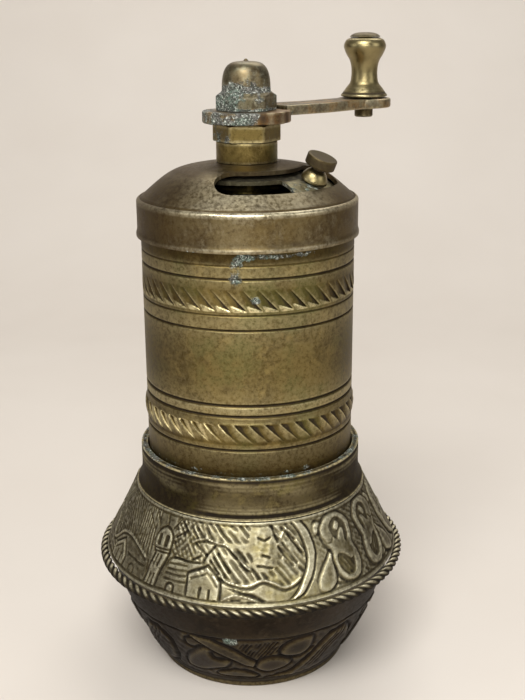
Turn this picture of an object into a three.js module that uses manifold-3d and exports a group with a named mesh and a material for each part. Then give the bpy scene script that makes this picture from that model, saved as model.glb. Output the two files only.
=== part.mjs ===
// Brass spice grinder: a hand mill in three sections. A cup with a rope-edged belly stands on the
// table, a straight tube with the burrs in its lower end pushes into the cup's collar, and a domed
// cap with a filler slot and a turning shutter closes the tube. A bent crank on top turns the shaft.
// Millimetres, +Z up. The origin is the centre of the foot, on the table.
import * as THREE from "three";
import { mergeVertices } from "three/addons/utils/BufferGeometryUtils.js";
import Module from "manifold-3d";

const wasm = await Module();
wasm.setup();

// Shared small sizes
const fitGap = 0.3; // between pieces that touch on the real object
const boreGap = 0.15; // radial play of a screw, pin or shaft in its hole
const stackGap = 0.1; // between flat pieces that are clamped together
const edgeBreak = 0.3; // chamfer on turned edges
const overcut = 1; // how far a cutter passes a face

// Cup: bowl, rope ring, shoulder and collar
const footRadius = 21.6;
const footRimHeight = 1.2;
const bowlHeight = 25.4;
const bowlTopRadius = 32.0;
const bowlBulge = 1.8;
const cupSheet = 0.9;
const cupFloor = 1.2;
const ropeStandOff = 0.4; // rope ring outside the bowl's upper edge
const ropeThickness = 2.1;
const shoulderLipReach = 0.7; // shoulder's lip over the rope ring
const ropeCover = 0.25;
const shoulderHeight = 16.0;
const collarFlare = 1.2;
const collarFlareHeight = 4.5;
const collarHeight = 9.05;
const collarWall = 1.4;
const sleeveDepth = 5.2;
const sleeveLedge = 0.8;
const ledgeWidth = 1.9;

// Tube
const tubeRadius = 22.5;
const tubeWall = 1.0;
const tubeLength = 65.8;
const spigotHeight = 5.7; // stepped upper end inside the cap's skirt
const spigotStep = 0.4;
// Turned lines, each [height above the tube's lower edge, depth, half width]
const turnedLines = [
  [18.7, 0.3, 0.28],
  [26.0, 0.35, 0.34],
  [28.3, 0.35, 0.34],
  [44.0, 0.28, 0.26],
  [54.3, 0.25, 0.26],
];
const beadFoot = 20.3; // flute band, above the tube's lower edge
const beadHeight = 4.4;
const beadBulge = 0.4;

// Cap
const capSheet = 0.85;
const skirtProud = 0.7; // skirt beyond the tube
const skirtDrop = 6.3; // skirt below the tube's upper edge
const skirtRoll = 0.3; // how far the lower edge rolls out
const skirtRollHeight = 1.2;
const shoulderRound = 0.8; // drop of the rounded step from the crease to the skirt
const creaseInset = 0.3; // dome foot inside the tube's radius
const creaseRise = 1.6;
const domeRise = 8.4; // flat seat above the tube's upper edge
const domeCornerInset = 6.7;
const domeCornerDrop = 1.2;
const domeSeatRadius = 7.0;

// Filler slot, on a centre line about the shaft
const slotInset = 7.2; // centre line inside the tube's radius
const slotWidth = 7.4;
const slotStart = -100; // degrees from +X to the centre of each round end
const slotEnd = -14;

// Shutter
const shutterSheet = 0.8;
const shutterDrop = 0.8; // free height between the dome and the plate
const shutterHubRadius = 12.4;
const bladeOverlap = 0.9; // blade beyond the slot's outer edge
const bladeStart = -57;
const bladeEnd = 74;
const knobAngle = -30;
const bellRadius = 2.8;
const bellRim = 0.35;
const bellHeight = 2.5;
const stemRadius = 1.15;
const stemHeight = 0.8;
const coinRadius = 3.1;
const coinThickness = 2.1;
const tailRadius = 1.1; // rivet tail through the plate
const tailUpset = 0.6;
const tailReach = 1.3;

// Neck through the cap
const bushRadius = 4.5;
const neckRingWall = 1.85;
const neckRingHeight = 4.15;
const neckNutWall = 1.65; // least wall of the upper nut
const neckNutHeight = 3.35;
const bushNutWall = 2.0;
const bushNutHeight = 2.4;
const bushTail = 1.0; // bush below its nut
const bushShort = 0.2; // bush below the upper nut's face

// Shaft, burrs and bridge
const shaftRadius = 3.0;
const squareInset = 0.17; // square's corners inside the shaft's radius
const squareShort = 0.3; // square below the hub's face
const burrHeight = 12.6;
const burrFunnelDepth = 3.0;
const funnelLip = 1.0;
const ringWall = 8.8; // tube's bore to the tips of the ring's teeth, at the foot
const ringBoreFlare = 0.7; // how much wider the tips stand at the funnel
const ringTeeth = 18;
const ringToothDepth = 0.9;
const ringTwist = 7; // degrees from foot to funnel
const coneLift = 0.2; // cone's foot above the ring's
const burrGap = 0.4; // between the tips of cone and ring at the foot
const coneTopRadius = 6.8;
const coneShort = 1.0; // cone lower than the ring
const coneTeeth = 9;
const coneToothDepth = 1.5;
const coneToothShare = 0.55; // depth at the foot, as a share of the depth at the top
const coneTwist = 38; // degrees from foot to top
const coneHubRadius = 5.0;
const coneHubHeight = 4.0;
const toothCrest = 2 / 3; // phase at which a tooth stands highest
const crossPinRadius = 0.8;
const crossPinProud = 0.3;
const bridgeLift = 0.8; // bar above the tube's lower edge
const bridgeThickness = 2.0;
const bridgeWidth = 8.0;
const bridgeBossRadius = 4.2;
const bridgeBossDrop = 2.5;
const bridgeScrewRadius = 1.5;
const bridgeScrewReach = 5.0;
const screwHeadRadius = 2.4;
const screwHeadHeight = 1.3;
const adjusterRadius = 2.5;
const adjusterHeadRadius = 5.2;
const adjusterHeadHeight = 2.7;
const adjusterHeadDrop = 1.5; // free height above the head with the screw right in
const adjusterTravel = 0.6; // how far the screw can lift the shaft
const scallops = 8;
const scallopRadius = 1.1;
const driverSlotWidth = 1.0;
const driverSlotDepth = 0.8;
const ballRadius = 1.25;
const ballPlay = 0.25;
const shaftRecess = 0.6; // shaft's foot above the cone's

// Crank
const crankAngle = 40.5; // degrees from +X
const crankRadius = 34.8;
const hubRadius = 9.15;
const hubThickness = 2.4;
const armThickness = 2.1;
const armRise = 0.8; // arm's upper face above the hub's
const armStandOff = 0.6; // arm's inner end outside the domed nut's corners
const armRootWidth = 9.4;
const armTipWidth = 8.6;
const armEyeRadius = 6.0;
const acornCorner = 6.35;
const acornHexHeight = 2.9;
const acornBevel = 0.45;
const acornChamfer = 1.4;
const acornBellRadius = 4.97;
const acornBellHeight = 5.3;
const acornTurn = 6.6; // degrees that a flat is turned from facing -Y
const acornPipRadius = 0.5;
const acornPipHeight = 0.5;
const studShare = 0.45; // how far the stud reaches up the acorn's bell

// Crank knob and its pin
const knobFootRadius = 5.19;
// Side of the knob above its foot, each [radius, height]
const knobSide = [
  [5.15, 0.4],
  [3.95, 2.0],
  [3.15, 3.1],
  [2.9, 4.8],
  [2.97, 6.5],
  [3.35, 7.9],
  [4.1, 9.2],
  [4.66, 10.8],
  [4.2, 12.1],
  [3.1, 12.7],
];
const knobHeight = knobSide[knobSide.length - 1][1];
const pinRadius = 1.5;
const pinHeadRadius = 2.95;
const pinHeadHeight = 1.0;
const pinHeadEdge = 0.15;
const pinTailRadius = 2.05;
const pinTailHeight = 1.9;

// Facets
const wideSteps = 36;
const midSteps = 30;
const fineSteps = 18;
const holeSteps = 12;
const curveSteps = 6;

// Heights that follow from the sizes above
const seamZ = bowlHeight;
const rootZ = seamZ + shoulderHeight;
const lipZ = rootZ + collarHeight;
const ledgeTopZ = rootZ - sleeveDepth + sleeveLedge;
const tubeFootZ = ledgeTopZ + fitGap;
const tubeTopZ = tubeFootZ + tubeLength;
const seatTopZ = tubeTopZ + domeRise;
const seatUnderZ = seatTopZ - capSheet;
const plateTopZ = seatUnderZ - shutterDrop;
const plateUnderZ = plateTopZ - shutterSheet;
const bushNutTopZ = plateUnderZ - fitGap;
const bushFootZ = bushNutTopZ - bushNutHeight - bushTail;
const neckRingFootZ = seatTopZ + stackGap;
const neckNutFootZ = neckRingFootZ + neckRingHeight + stackGap;
const neckNutTopZ = neckNutFootZ + neckNutHeight;
const hubFootZ = neckNutTopZ + fitGap;
const hubTopZ = hubFootZ + hubThickness;
const acornFootZ = hubTopZ + stackGap;
const studTopZ = acornFootZ + acornHexHeight + acornBellHeight * studShare;
const armTopZ = hubTopZ + armRise;
const armFootZ = armTopZ - armThickness;
const knobFootZ = armTopZ + fitGap;
const bridgeFootZ = tubeFootZ + bridgeLift;
const bridgeTopZ = bridgeFootZ + bridgeThickness;
const ringFootZ = bridgeTopZ + fitGap;
const ringTopZ = ringFootZ + burrHeight;
const coneFootZ = ringFootZ + coneLift;
const coneHeight = burrHeight - coneShort;
const coneTopZ = coneFootZ + coneHeight;
const crossPinZ = coneTopZ + coneHubHeight / 2;
const shaftFootZ = coneFootZ + shaftRecess;
const ballZ = shaftFootZ - ballPlay;
const adjusterTipZ = ballZ - ballRadius - fitGap;
const bossFootZ = bridgeFootZ - bridgeBossDrop;
const adjusterHeadTopZ = bossFootZ - adjusterTravel - adjusterHeadDrop;

// Radii that follow
const tubeBore = tubeRadius - tubeWall;
const collarBore = tubeRadius + fitGap;
const collarOutside = collarBore + collarWall;
const skirtRadius = tubeRadius + skirtProud;
const capInnerRadius = tubeRadius - spigotStep + fitGap;
const ropeRadius = bowlTopRadius + ropeStandOff + ropeThickness / 2;
const bushHole = bushRadius + boreGap;
const neckNutCorner = (bushRadius + neckNutWall) / Math.cos(Math.PI / 6);
const bushNutCorner = (bushRadius + bushNutWall) / Math.cos(Math.PI / 6);
const slotRadius = tubeRadius - slotInset;
const squareSide = Math.SQRT2 * (shaftRadius - squareInset);
const studRadius = squareSide / 2;
const ringOutside = tubeBore - fitGap;
const ringBoreFoot = tubeBore - ringWall;
const ringBoreTop = ringBoreFoot + ringBoreFlare;
const coneFootRadius = ringBoreFoot - burrGap;
const bridgeScrewOffset = (ringBoreFoot + ringToothDepth + ringOutside) / 2;

const rad = THREE.MathUtils.degToRad;
const point = (r, z) => new THREE.Vector2(r, z);

// Solids and geometries

function toSolid(geometry) {
  const bare = new THREE.BufferGeometry();
  bare.setAttribute("position", geometry.getAttribute("position"));
  bare.setIndex(geometry.index);
  const merged = mergeVertices(bare, 1e-4);
  const mesh = new wasm.Mesh({
    numProp: 3,
    vertProperties: merged.attributes.position.array,
    triVerts: new Uint32Array(merged.index.array),
  });
  return new wasm.Manifold(mesh);
}

function toGeometry(solid) {
  const mesh = solid.getMesh();
  const positions = new Float32Array(mesh.numVert * 3);
  for (let i = 0; i < mesh.numVert; i++) {
    const start = i * mesh.numProp;
    positions.set(mesh.vertProperties.subarray(start, start + 3), i * 3);
  }
  const geometry = new THREE.BufferGeometry();
  geometry.setAttribute("position", new THREE.BufferAttribute(positions, 3));
  geometry.setIndex(new THREE.BufferAttribute(new Uint32Array(mesh.triVerts), 1));
  geometry.computeVertexNormals();
  return geometry;
}

// A closed (r, z) loop, given anticlockwise, turned about the Z axis.
function revolve(loop, steps = wideSteps) {
  const closed = [...loop, loop[0].clone()];
  return new THREE.LatheGeometry(closed, steps).rotateX(Math.PI / 2);
}

// A solid disc or ring between two heights; bore 0 gives a disc.
function drum(radius, low, high, bore = 0, steps = midSteps) {
  const loop = [point(bore, low), point(radius, low), point(radius, high), point(bore, high)];
  return toSolid(revolve(loop, steps));
}

// A flat outline raised from one height to another.
function slab(shape, low, high, steps = curveSteps) {
  const settings = { depth: high - low, bevelEnabled: false, curveSegments: steps };
  return toSolid(new THREE.ExtrudeGeometry(shape, settings).translate(0, 0, low));
}

// A regular polygon by its corner radius; turn is the angle of one corner.
function polygon(corner, sides, turn = 0) {
  const shape = new THREE.Shape();
  for (let i = 0; i < sides; i++) {
    const a = turn + (i * 2 * Math.PI) / sides;
    if (i === 0) shape.moveTo(corner * Math.cos(a), corner * Math.sin(a));
    else shape.lineTo(corner * Math.cos(a), corner * Math.sin(a));
  }
  shape.closePath();
  return shape;
}

// Points along a cubic curve whose two handles both lie at the corner of the outline.
function corneredCurve(from, corner, to, steps = curveSteps) {
  const handle = corner.clone();
  return new THREE.CubicBezierCurve(from, handle, handle.clone(), to).getPoints(steps);
}

// The line beside an outline, the given distance to its left.
function beside(line, distance) {
  return line.map((p, i) => {
    const before = line[Math.max(i - 1, 0)];
    const after = line[Math.min(i + 1, line.length - 1)];
    const along = after.clone().sub(before).normalize();
    return point(Math.max(p.x - along.y * distance, 0), p.y + along.x * distance);
  });
}

// A closed ring whose section may change round the axis: place(i, j) gives the point of
// section step i, anticlockwise, at column j.
function ringSurface(sectionSteps, columns, place) {
  const positions = [];
  const index = [];
  for (let i = 0; i < sectionSteps; i++) {
    for (let j = 0; j < columns; j++) positions.push(...place(i, j));
  }
  for (let i = 0; i < sectionSteps; i++) {
    const next = (i + 1) % sectionSteps;
    for (let j = 0; j < columns; j++) {
      const right = (j + 1) % columns;
      const a = i * columns + j;
      const b = i * columns + right;
      const c = next * columns + right;
      const d = next * columns + j;
      index.push(a, b, c, a, c, d);
    }
  }
  const geometry = new THREE.BufferGeometry();
  geometry.setAttribute("position", new THREE.Float32BufferAttribute(positions, 3));
  geometry.setIndex(index);
  return geometry;
}

// Cup

// Outside of the bowl, from the foot's rim up to the seam.
function bowlOutline() {
  const foot = point(footRadius, footRimHeight);
  const seam = point(bowlTopRadius, seamZ - boreGap);
  const middle = foot.clone().add(seam).multiplyScalar(0.5);
  const along = seam.clone().sub(foot).normalize();
  const handle = point(middle.x + 2 * bowlBulge * along.y, middle.y - 2 * bowlBulge * along.x);
  return new THREE.QuadraticBezierCurve(foot, handle, seam).getPoints(curveSteps);
}

function baseBowl() {
  const outline = bowlOutline();
  const inside = beside(outline, cupSheet).filter((p) => p.y > cupFloor + edgeBreak);
  inside[inside.length - 1].y = outline[outline.length - 1].y;
  const loop = [
    point(0, 0),
    point(footRadius - edgeBreak, 0),
    point(footRadius, edgeBreak),
    ...outline,
    ...inside.reverse(),
    point(footRadius - cupSheet, cupFloor),
    point(0, cupFloor),
  ];
  return revolve(loop);
}

// Wire laid round the belly, outside the seam.
function ropeRing() {
  const sides = 6;
  const half = ropeThickness / 2;
  const loop = [];
  for (let i = 0; i < sides; i++) {
    const turn = (i * 2 * Math.PI) / sides;
    loop.push(point(ropeRadius + half * Math.cos(turn), seamZ + half * Math.sin(turn)));
  }
  return revolve(loop);
}

// Outside of the shoulder: a lip over the rope ring, then straight up to the collar's root.
function baseShoulder() {
  const outline = [
    point(bowlTopRadius, seamZ + boreGap),
    point(bowlTopRadius + shoulderLipReach, seamZ + ropeThickness / 2 + ropeCover),
    point(collarOutside + collarFlare, rootZ),
  ];
  const inside = beside(outline, cupSheet).reverse();
  inside[0] = point(collarOutside + fitGap, rootZ);
  inside[inside.length - 1].y = outline[0].y;
  return revolve([...outline, ...inside]);
}

// Collar with its flared root on the shoulder; the sleeve below ends in the ledge for the tube.
function baseCollar() {
  const flareFootZ = rootZ + fitGap;
  const flare = new THREE.QuadraticBezierCurve(
    point(collarOutside + collarFlare, flareFootZ),
    point(collarOutside, flareFootZ + collarFlare),
    point(collarOutside, flareFootZ + collarFlareHeight),
  ).getPoints(4);
  const loop = [
    point(collarBore - ledgeWidth, ledgeTopZ - sleeveLedge),
    point(collarOutside, ledgeTopZ - sleeveLedge),
    point(collarOutside, flareFootZ),
    ...flare,
    point(collarOutside, lipZ - edgeBreak),
    point(collarOutside - edgeBreak, lipZ),
    point(collarBore, lipZ),
    point(collarBore, ledgeTopZ),
    point(collarBore - ledgeWidth, ledgeTopZ),
  ];
  return revolve(loop);
}

// Tube

function bodyTube() {
  const foot = [
    point(tubeRadius - edgeBreak, tubeFootZ),
    point(tubeRadius, tubeFootZ + edgeBreak),
  ];
  const bead = new THREE.QuadraticBezierCurve(
    point(tubeRadius, tubeFootZ + beadFoot),
    point(tubeRadius + 2 * beadBulge, tubeFootZ + beadFoot + beadHeight / 2),
    point(tubeRadius, tubeFootZ + beadFoot + beadHeight),
  ).getPoints(4);
  const grooves = turnedLines.map(([height, depth, half]) => [
    point(tubeRadius, tubeFootZ + height - half),
    point(tubeRadius - depth, tubeFootZ + height),
    point(tubeRadius, tubeFootZ + height + half),
  ]);
  const marks = [...grooves.flat(), ...bead].sort((a, b) => a.y - b.y);
  const loop = [
    ...foot,
    ...marks,
    point(tubeRadius, tubeTopZ - spigotHeight),
    point(tubeRadius - spigotStep, tubeTopZ - spigotHeight),
    point(tubeRadius - spigotStep, tubeTopZ),
    point(tubeBore, tubeTopZ),
    point(tubeBore, tubeFootZ),
  ];
  return revolve(loop);
}

// Cap

// The dome from its flat seat out to the crease; drop lowers it for what lies beneath.
function domeLine(drop, seatRadius, steps = curveSteps) {
  const seat = point(seatRadius, seatTopZ - drop);
  const corner = point(tubeRadius - domeCornerInset, seatTopZ - domeCornerDrop - drop);
  const crease = point(tubeRadius - creaseInset, tubeTopZ + creaseRise - drop);
  return corneredCurve(seat, corner, crease, steps);
}

// Height of a dome line at a radius.
function lineHeight(line, radius) {
  const k = Math.max(
    1,
    line.findIndex((p) => p.x >= radius),
  );
  const [a, b] = [line[k - 1], line[k]];
  return a.y + ((radius - a.x) / (b.x - a.x)) * (b.y - a.y);
}

function kidneyShape(centreRadius, halfWidth, fromDegrees, toDegrees) {
  const [from, to] = [rad(fromDegrees), rad(toDegrees)];
  const inner = centreRadius - halfWidth;
  const outer = centreRadius + halfWidth;
  const end = (a) => [centreRadius * Math.cos(a), centreRadius * Math.sin(a)];
  const shape = new THREE.Shape();
  shape.absarc(0, 0, outer, from, to, false);
  shape.absarc(...end(to), halfWidth, to, to + Math.PI, false);
  shape.absarc(0, 0, inner, to, from, true);
  shape.absarc(...end(from), halfWidth, from + Math.PI, from + 2 * Math.PI, false);
  return shape;
}

function cap() {
  const skirtFootZ = tubeTopZ - skirtDrop;
  const creaseZ = tubeTopZ + creaseRise;
  const underSlope = 1.25; // the sheet's height where the dome is steep, in thicknesses
  const outside = [
    ...domeLine(0, domeSeatRadius),
    point(skirtRadius - edgeBreak, creaseZ - edgeBreak),
    point(skirtRadius, creaseZ - shoulderRound),
    point(skirtRadius, skirtFootZ + skirtRollHeight),
    point(skirtRadius + skirtRoll, skirtFootZ + skirtRollHeight / 2),
    point(skirtRadius + skirtRoll, skirtFootZ + boreGap),
    point(skirtRadius + boreGap, skirtFootZ),
  ];
  const inside = [
    point(capInnerRadius + skirtRoll + boreGap, skirtFootZ),
    point(capInnerRadius, skirtFootZ + skirtRollHeight),
    point(capInnerRadius, tubeTopZ + fitGap),
    ...domeLine(capSheet * underSlope, domeSeatRadius).slice(0, -1).reverse(),
    point(domeSeatRadius, seatUnderZ),
  ];
  const seat = [point(bushHole, seatUnderZ), point(bushHole, seatTopZ)];
  const shell = toSolid(revolve([...outside, ...inside, ...seat].reverse()));
  const outline = kidneyShape(slotRadius, slotWidth / 2, slotStart, slotEnd);
  const slot = slab(outline, tubeTopZ + fitGap, seatTopZ + overcut, 2 * curveSteps);
  return toGeometry(shell.subtract(slot));
}

// Shutter

function shutterPlate() {
  const drop = capSheet + shutterDrop;
  const line = [point(domeSeatRadius, plateTopZ), ...domeLine(drop, domeSeatRadius).slice(1)];
  const bladeRadius = slotRadius + slotWidth / 2 + bladeOverlap;
  const top = line.filter((p) => p.x < bladeRadius);
  top.push(point(bladeRadius, lineHeight(line, bladeRadius)));
  const hole = bushRadius + fitGap;
  const loop = [
    point(hole, plateUnderZ),
    ...top.map((p) => point(p.x, p.y - shutterSheet)),
    ...[...top].reverse(),
    point(hole, plateTopZ),
  ];
  const dish = toSolid(revolve(loop));
  const hub = drum(shutterHubRadius, tubeFootZ, seatTopZ, hole);
  const sector = new THREE.Shape();
  sector.moveTo(0, 0);
  sector.absarc(0, 0, bladeRadius + overcut, rad(bladeStart), rad(bladeEnd), false);
  sector.lineTo(0, 0);
  const blade = slab(sector, tubeFootZ, seatTopZ, 2 * curveSteps);
  const reach = shutterSheet + overcut;
  const rivetHole = placeOnPlate(drum(tailRadius + boreGap, -reach, overcut, 0, holeSteps));
  return toGeometry(dish.intersect(hub.add(blade)).subtract(rivetHole));
}

// The frame of the shutter's knob: on the plate's upper face, its axis square to the plate.
function plateFrame() {
  const line = domeLine(capSheet + shutterDrop, domeSeatRadius, 4 * curveSteps);
  const step = 0.5;
  const rise = lineHeight(line, slotRadius + step) - lineHeight(line, slotRadius - step);
  const lean = Math.atan2(-rise, 2 * step);
  const round = new THREE.Matrix4().makeRotationZ(rad(knobAngle));
  const tilt = new THREE.Matrix4().makeRotationY(lean);
  const lift = new THREE.Matrix4().makeTranslation(slotRadius, 0, lineHeight(line, slotRadius));
  return round.multiply(lift).multiply(tilt);
}

function placeOnPlate(solid) {
  return toSolid(toGeometry(solid).applyMatrix4(plateFrame()));
}

// Turned in one piece: upset tail under the plate, bell foot, thin neck and coin head.
function shutterKnob() {
  const rimZ = fitGap + bellRim;
  const neckZ = fitGap + bellHeight;
  const bell = new THREE.QuadraticBezierCurve(
    point(bellRadius, rimZ),
    point((bellRadius + stemRadius) / 2 + edgeBreak, neckZ - bellRim),
    point(stemRadius, neckZ),
  ).getPoints(4);
  const coinFoot = neckZ + stemHeight;
  const coinTop = coinFoot + coinThickness;
  const tailTop = -shutterSheet - fitGap;
  const tailFoot = -shutterSheet - tailReach;
  const loop = [
    point(0, tailFoot),
    point(tailRadius + tailUpset, tailFoot),
    point(tailRadius + tailUpset, tailFoot + edgeBreak),
    point(tailRadius, tailTop),
    point(tailRadius, fitGap),
    point(bellRadius, fitGap),
    ...bell,
    point(stemRadius, coinFoot),
    point(coinRadius - edgeBreak, coinFoot),
    point(coinRadius, coinFoot + edgeBreak),
    point(coinRadius, coinTop - edgeBreak),
    point(coinRadius - edgeBreak, coinTop),
    point(0, coinTop),
  ];
  return revolve(loop, fineSteps).applyMatrix4(plateFrame());
}

function shutterWasher() {
  const lift = fitGap / 2;
  const radius = domeSeatRadius - fitGap;
  return toGeometry(drum(radius, plateTopZ + lift, seatUnderZ - lift, bushHole));
}

// Neck

function neckBush() {
  const top = neckNutTopZ - bushShort;
  return toGeometry(drum(bushRadius, bushFootZ, top, shaftRadius + fitGap));
}

function neckRing() {
  const top = neckRingFootZ + neckRingHeight;
  const radius = bushRadius + neckRingWall;
  const loop = [
    point(bushHole, neckRingFootZ),
    point(radius, neckRingFootZ),
    point(radius, top - edgeBreak),
    point(radius - edgeBreak, top),
    point(bushHole, top),
  ];
  return revolve(loop, midSteps);
}

// A hexagon nut on the bush; turn is the angle of one corner.
function bushHexagon(corner, low, high, turn) {
  const blank = slab(polygon(corner, 6, turn), low, high);
  return toGeometry(blank.subtract(drum(bushHole, low - overcut, high + overcut)));
}

// Corners on +X and -X, so a flat faces -Y.
function neckNut() {
  return bushHexagon(neckNutCorner, neckNutFootZ, neckNutTopZ, 0);
}

function bushNut() {
  return bushHexagon(bushNutCorner, bushNutTopZ - bushNutHeight, bushNutTopZ, Math.PI / 6);
}

// Burrs, bridge and adjuster

// How far a saw tooth stands at a phase from 0 to 1: a long rise, then a short fall.
function sawTooth(phase) {
  const p = phase - Math.floor(phase);
  return p < toothCrest ? p / toothCrest : (1 - p) / (1 - toothCrest);
}

const plainRow = (radius, z) => ({ z, tip: radius, depth: 0, twist: 0 });

// A closed ring from rows of saw teeth; depth runs inward from the tips, or outward if negative.
function toothedSurface(section, teeth, stepsPerTooth) {
  const columns = teeth * stepsPerTooth;
  return ringSurface(section.length, columns, (i, j) => {
    const { z, tip, depth, twist } = section[i];
    const radius = tip - depth * (1 - sawTooth(j / stepsPerTooth));
    const round = (j * 2 * Math.PI) / columns + twist;
    return [radius * Math.cos(round), radius * Math.sin(round), z];
  });
}

// Cast ring, toothed inside, with a funnel above the teeth and two tapped holes below.
function outerBurr() {
  const funnelFootZ = ringTopZ - burrFunnelDepth;
  const toothed = [1, 0.5, 0].map((share) => ({
    z: ringFootZ + (funnelFootZ - ringFootZ) * share,
    tip: ringBoreFoot + (ringBoreTop - ringBoreFoot) * share,
    depth: -ringToothDepth,
    twist: rad(ringTwist) * share,
  }));
  const section = [
    plainRow(ringOutside, ringFootZ),
    plainRow(ringOutside, ringTopZ),
    plainRow(ringOutside - funnelLip, ringTopZ),
    ...toothed,
  ];
  const ring = toothedSurface(section, ringTeeth, 3);
  return toGeometry(drillScrewHoles(toSolid(ring), ringFootZ + bridgeScrewReach + fitGap));
}

// The two holes for the screws that hold the bridge to the ring, up to a height.
function drillScrewHoles(solid, top) {
  const hole = drum(bridgeScrewRadius + boreGap, bridgeFootZ - overcut, top, 0, holeSteps);
  const left = hole.translate([-bridgeScrewOffset, 0, 0]);
  const right = hole.translate([bridgeScrewOffset, 0, 0]);
  return solid.subtract(left).subtract(right);
}

// Cone with slanting teeth and a plain hub, which the cross pin goes through.
function innerBurr() {
  const bore = shaftRadius + boreGap;
  const rows = 4;
  const section = [];
  for (let k = 0; k <= rows; k++) {
    const share = k / rows;
    section.push({
      z: coneFootZ + coneHeight * share,
      tip: coneFootRadius + (coneTopRadius - coneFootRadius) * share,
      depth: coneToothDepth * (coneToothShare + (1 - coneToothShare) * share),
      twist: rad(coneTwist) * share,
    });
  }
  section.push(plainRow(coneHubRadius, coneTopZ + boreGap));
  section.push(plainRow(coneHubRadius, coneTopZ + coneHubHeight));
  section.push(plainRow(bore, coneTopZ + coneHubHeight));
  section.push(plainRow(bore, coneFootZ));
  const cone = toothedSurface(section, coneTeeth, 6);
  return toGeometry(toSolid(cone).subtract(crossPinHole()));
}

function crossBar(radius, length) {
  const bar = new THREE.CylinderGeometry(radius, radius, length, holeSteps);
  return toSolid(bar.rotateZ(Math.PI / 2).translate(0, 0, crossPinZ));
}

function crossPinHole() {
  return crossBar(crossPinRadius + boreGap, 2 * coneHubRadius + 2 * overcut);
}

function crossPin() {
  return toGeometry(crossBar(crossPinRadius, 2 * coneHubRadius + 2 * crossPinProud));
}

// Flat bar across the lower end of the tube, with a tapped boss in the middle.
function bridgeBar() {
  const halfLength = tubeBore - 2 * fitGap;
  const sweep = Math.asin(bridgeWidth / 2 / halfLength);
  const outline = new THREE.Shape();
  outline.absarc(0, 0, halfLength, -sweep, sweep, false);
  outline.absarc(0, 0, halfLength, Math.PI - sweep, Math.PI + sweep, false);
  outline.closePath();
  const bar = slab(outline, bridgeFootZ, bridgeTopZ, 4);
  const boss = drum(bridgeBossRadius, bossFootZ, bridgeTopZ - edgeBreak, 0, fineSteps);
  const bore = adjusterRadius + boreGap;
  const tapped = drum(bore, bossFootZ - overcut, bridgeTopZ + overcut, 0, fineSteps);
  return toGeometry(drillScrewHoles(bar.add(boss).subtract(tapped), bridgeTopZ + overcut));
}

function bridgeScrew() {
  const headTopZ = bridgeFootZ - fitGap / 2;
  const headFootZ = headTopZ - screwHeadHeight;
  const loop = [
    point(0, headFootZ),
    point(screwHeadRadius - edgeBreak, headFootZ),
    point(screwHeadRadius, headFootZ + edgeBreak),
    point(screwHeadRadius, headTopZ),
    point(bridgeScrewRadius, headTopZ),
    point(bridgeScrewRadius, ringFootZ + bridgeScrewReach),
    point(0, ringFootZ + bridgeScrewReach),
  ];
  return revolve(loop, holeSteps);
}

// Thumb screw that carries the ball; its edge is scalloped for the fingers.
function adjustingScrew() {
  const headFootZ = adjusterHeadTopZ - adjusterHeadHeight;
  const loop = [
    point(0, headFootZ),
    point(adjusterHeadRadius - edgeBreak, headFootZ),
    point(adjusterHeadRadius, headFootZ + edgeBreak),
    point(adjusterHeadRadius, adjusterHeadTopZ - edgeBreak),
    point(adjusterHeadRadius - edgeBreak, adjusterHeadTopZ),
    point(adjusterRadius, adjusterHeadTopZ),
    point(adjusterRadius, adjusterTipZ - edgeBreak),
    point(adjusterRadius - edgeBreak, adjusterTipZ),
    point(0, adjusterTipZ),
  ];
  let solid = toSolid(revolve(loop, fineSteps));
  const reach = adjusterHeadRadius + scallopRadius / 2;
  for (let i = 0; i < scallops; i++) {
    const a = (i * 2 * Math.PI) / scallops;
    const cut = drum(scallopRadius, headFootZ - overcut, adjusterHeadTopZ + overcut, 0, 8);
    solid = solid.subtract(cut.translate([reach * Math.cos(a), reach * Math.sin(a), 0]));
  }
  const slotLength = 2 * (adjusterHeadRadius + overcut);
  const slot = new THREE.BoxGeometry(slotLength, driverSlotWidth, 2 * driverSlotDepth);
  return toGeometry(solid.subtract(toSolid(slot.translate(0, 0, headFootZ))));
}

function thrustBall() {
  return new THREE.SphereGeometry(ballRadius, 12, 8).rotateX(Math.PI / 2).translate(0, 0, ballZ);
}

// Shaft: pocket for the ball below, square for the crank and threaded stud above.
function shaft() {
  const shoulderZ = hubFootZ - stackGap;
  const squareTopZ = hubTopZ - squareShort;
  const rod = drum(shaftRadius, shaftFootZ, shoulderZ, 0, fineSteps);
  const corner = squareSide / Math.SQRT2;
  const square = slab(polygon(corner, 4, Math.PI / 4), shoulderZ - overcut, squareTopZ);
  const stud = drum(studRadius, squareTopZ - overcut, studTopZ, 0, fineSteps);
  const pocketTop = ballZ + ballRadius + fitGap;
  const pocket = drum(ballRadius + ballPlay, shaftFootZ - overcut, pocketTop, 0, holeSteps);
  return toGeometry(rod.add(square).add(stud).subtract(pocket).subtract(crossPinHole()));
}

// Crank, along +X before it is turned to its place

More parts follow.
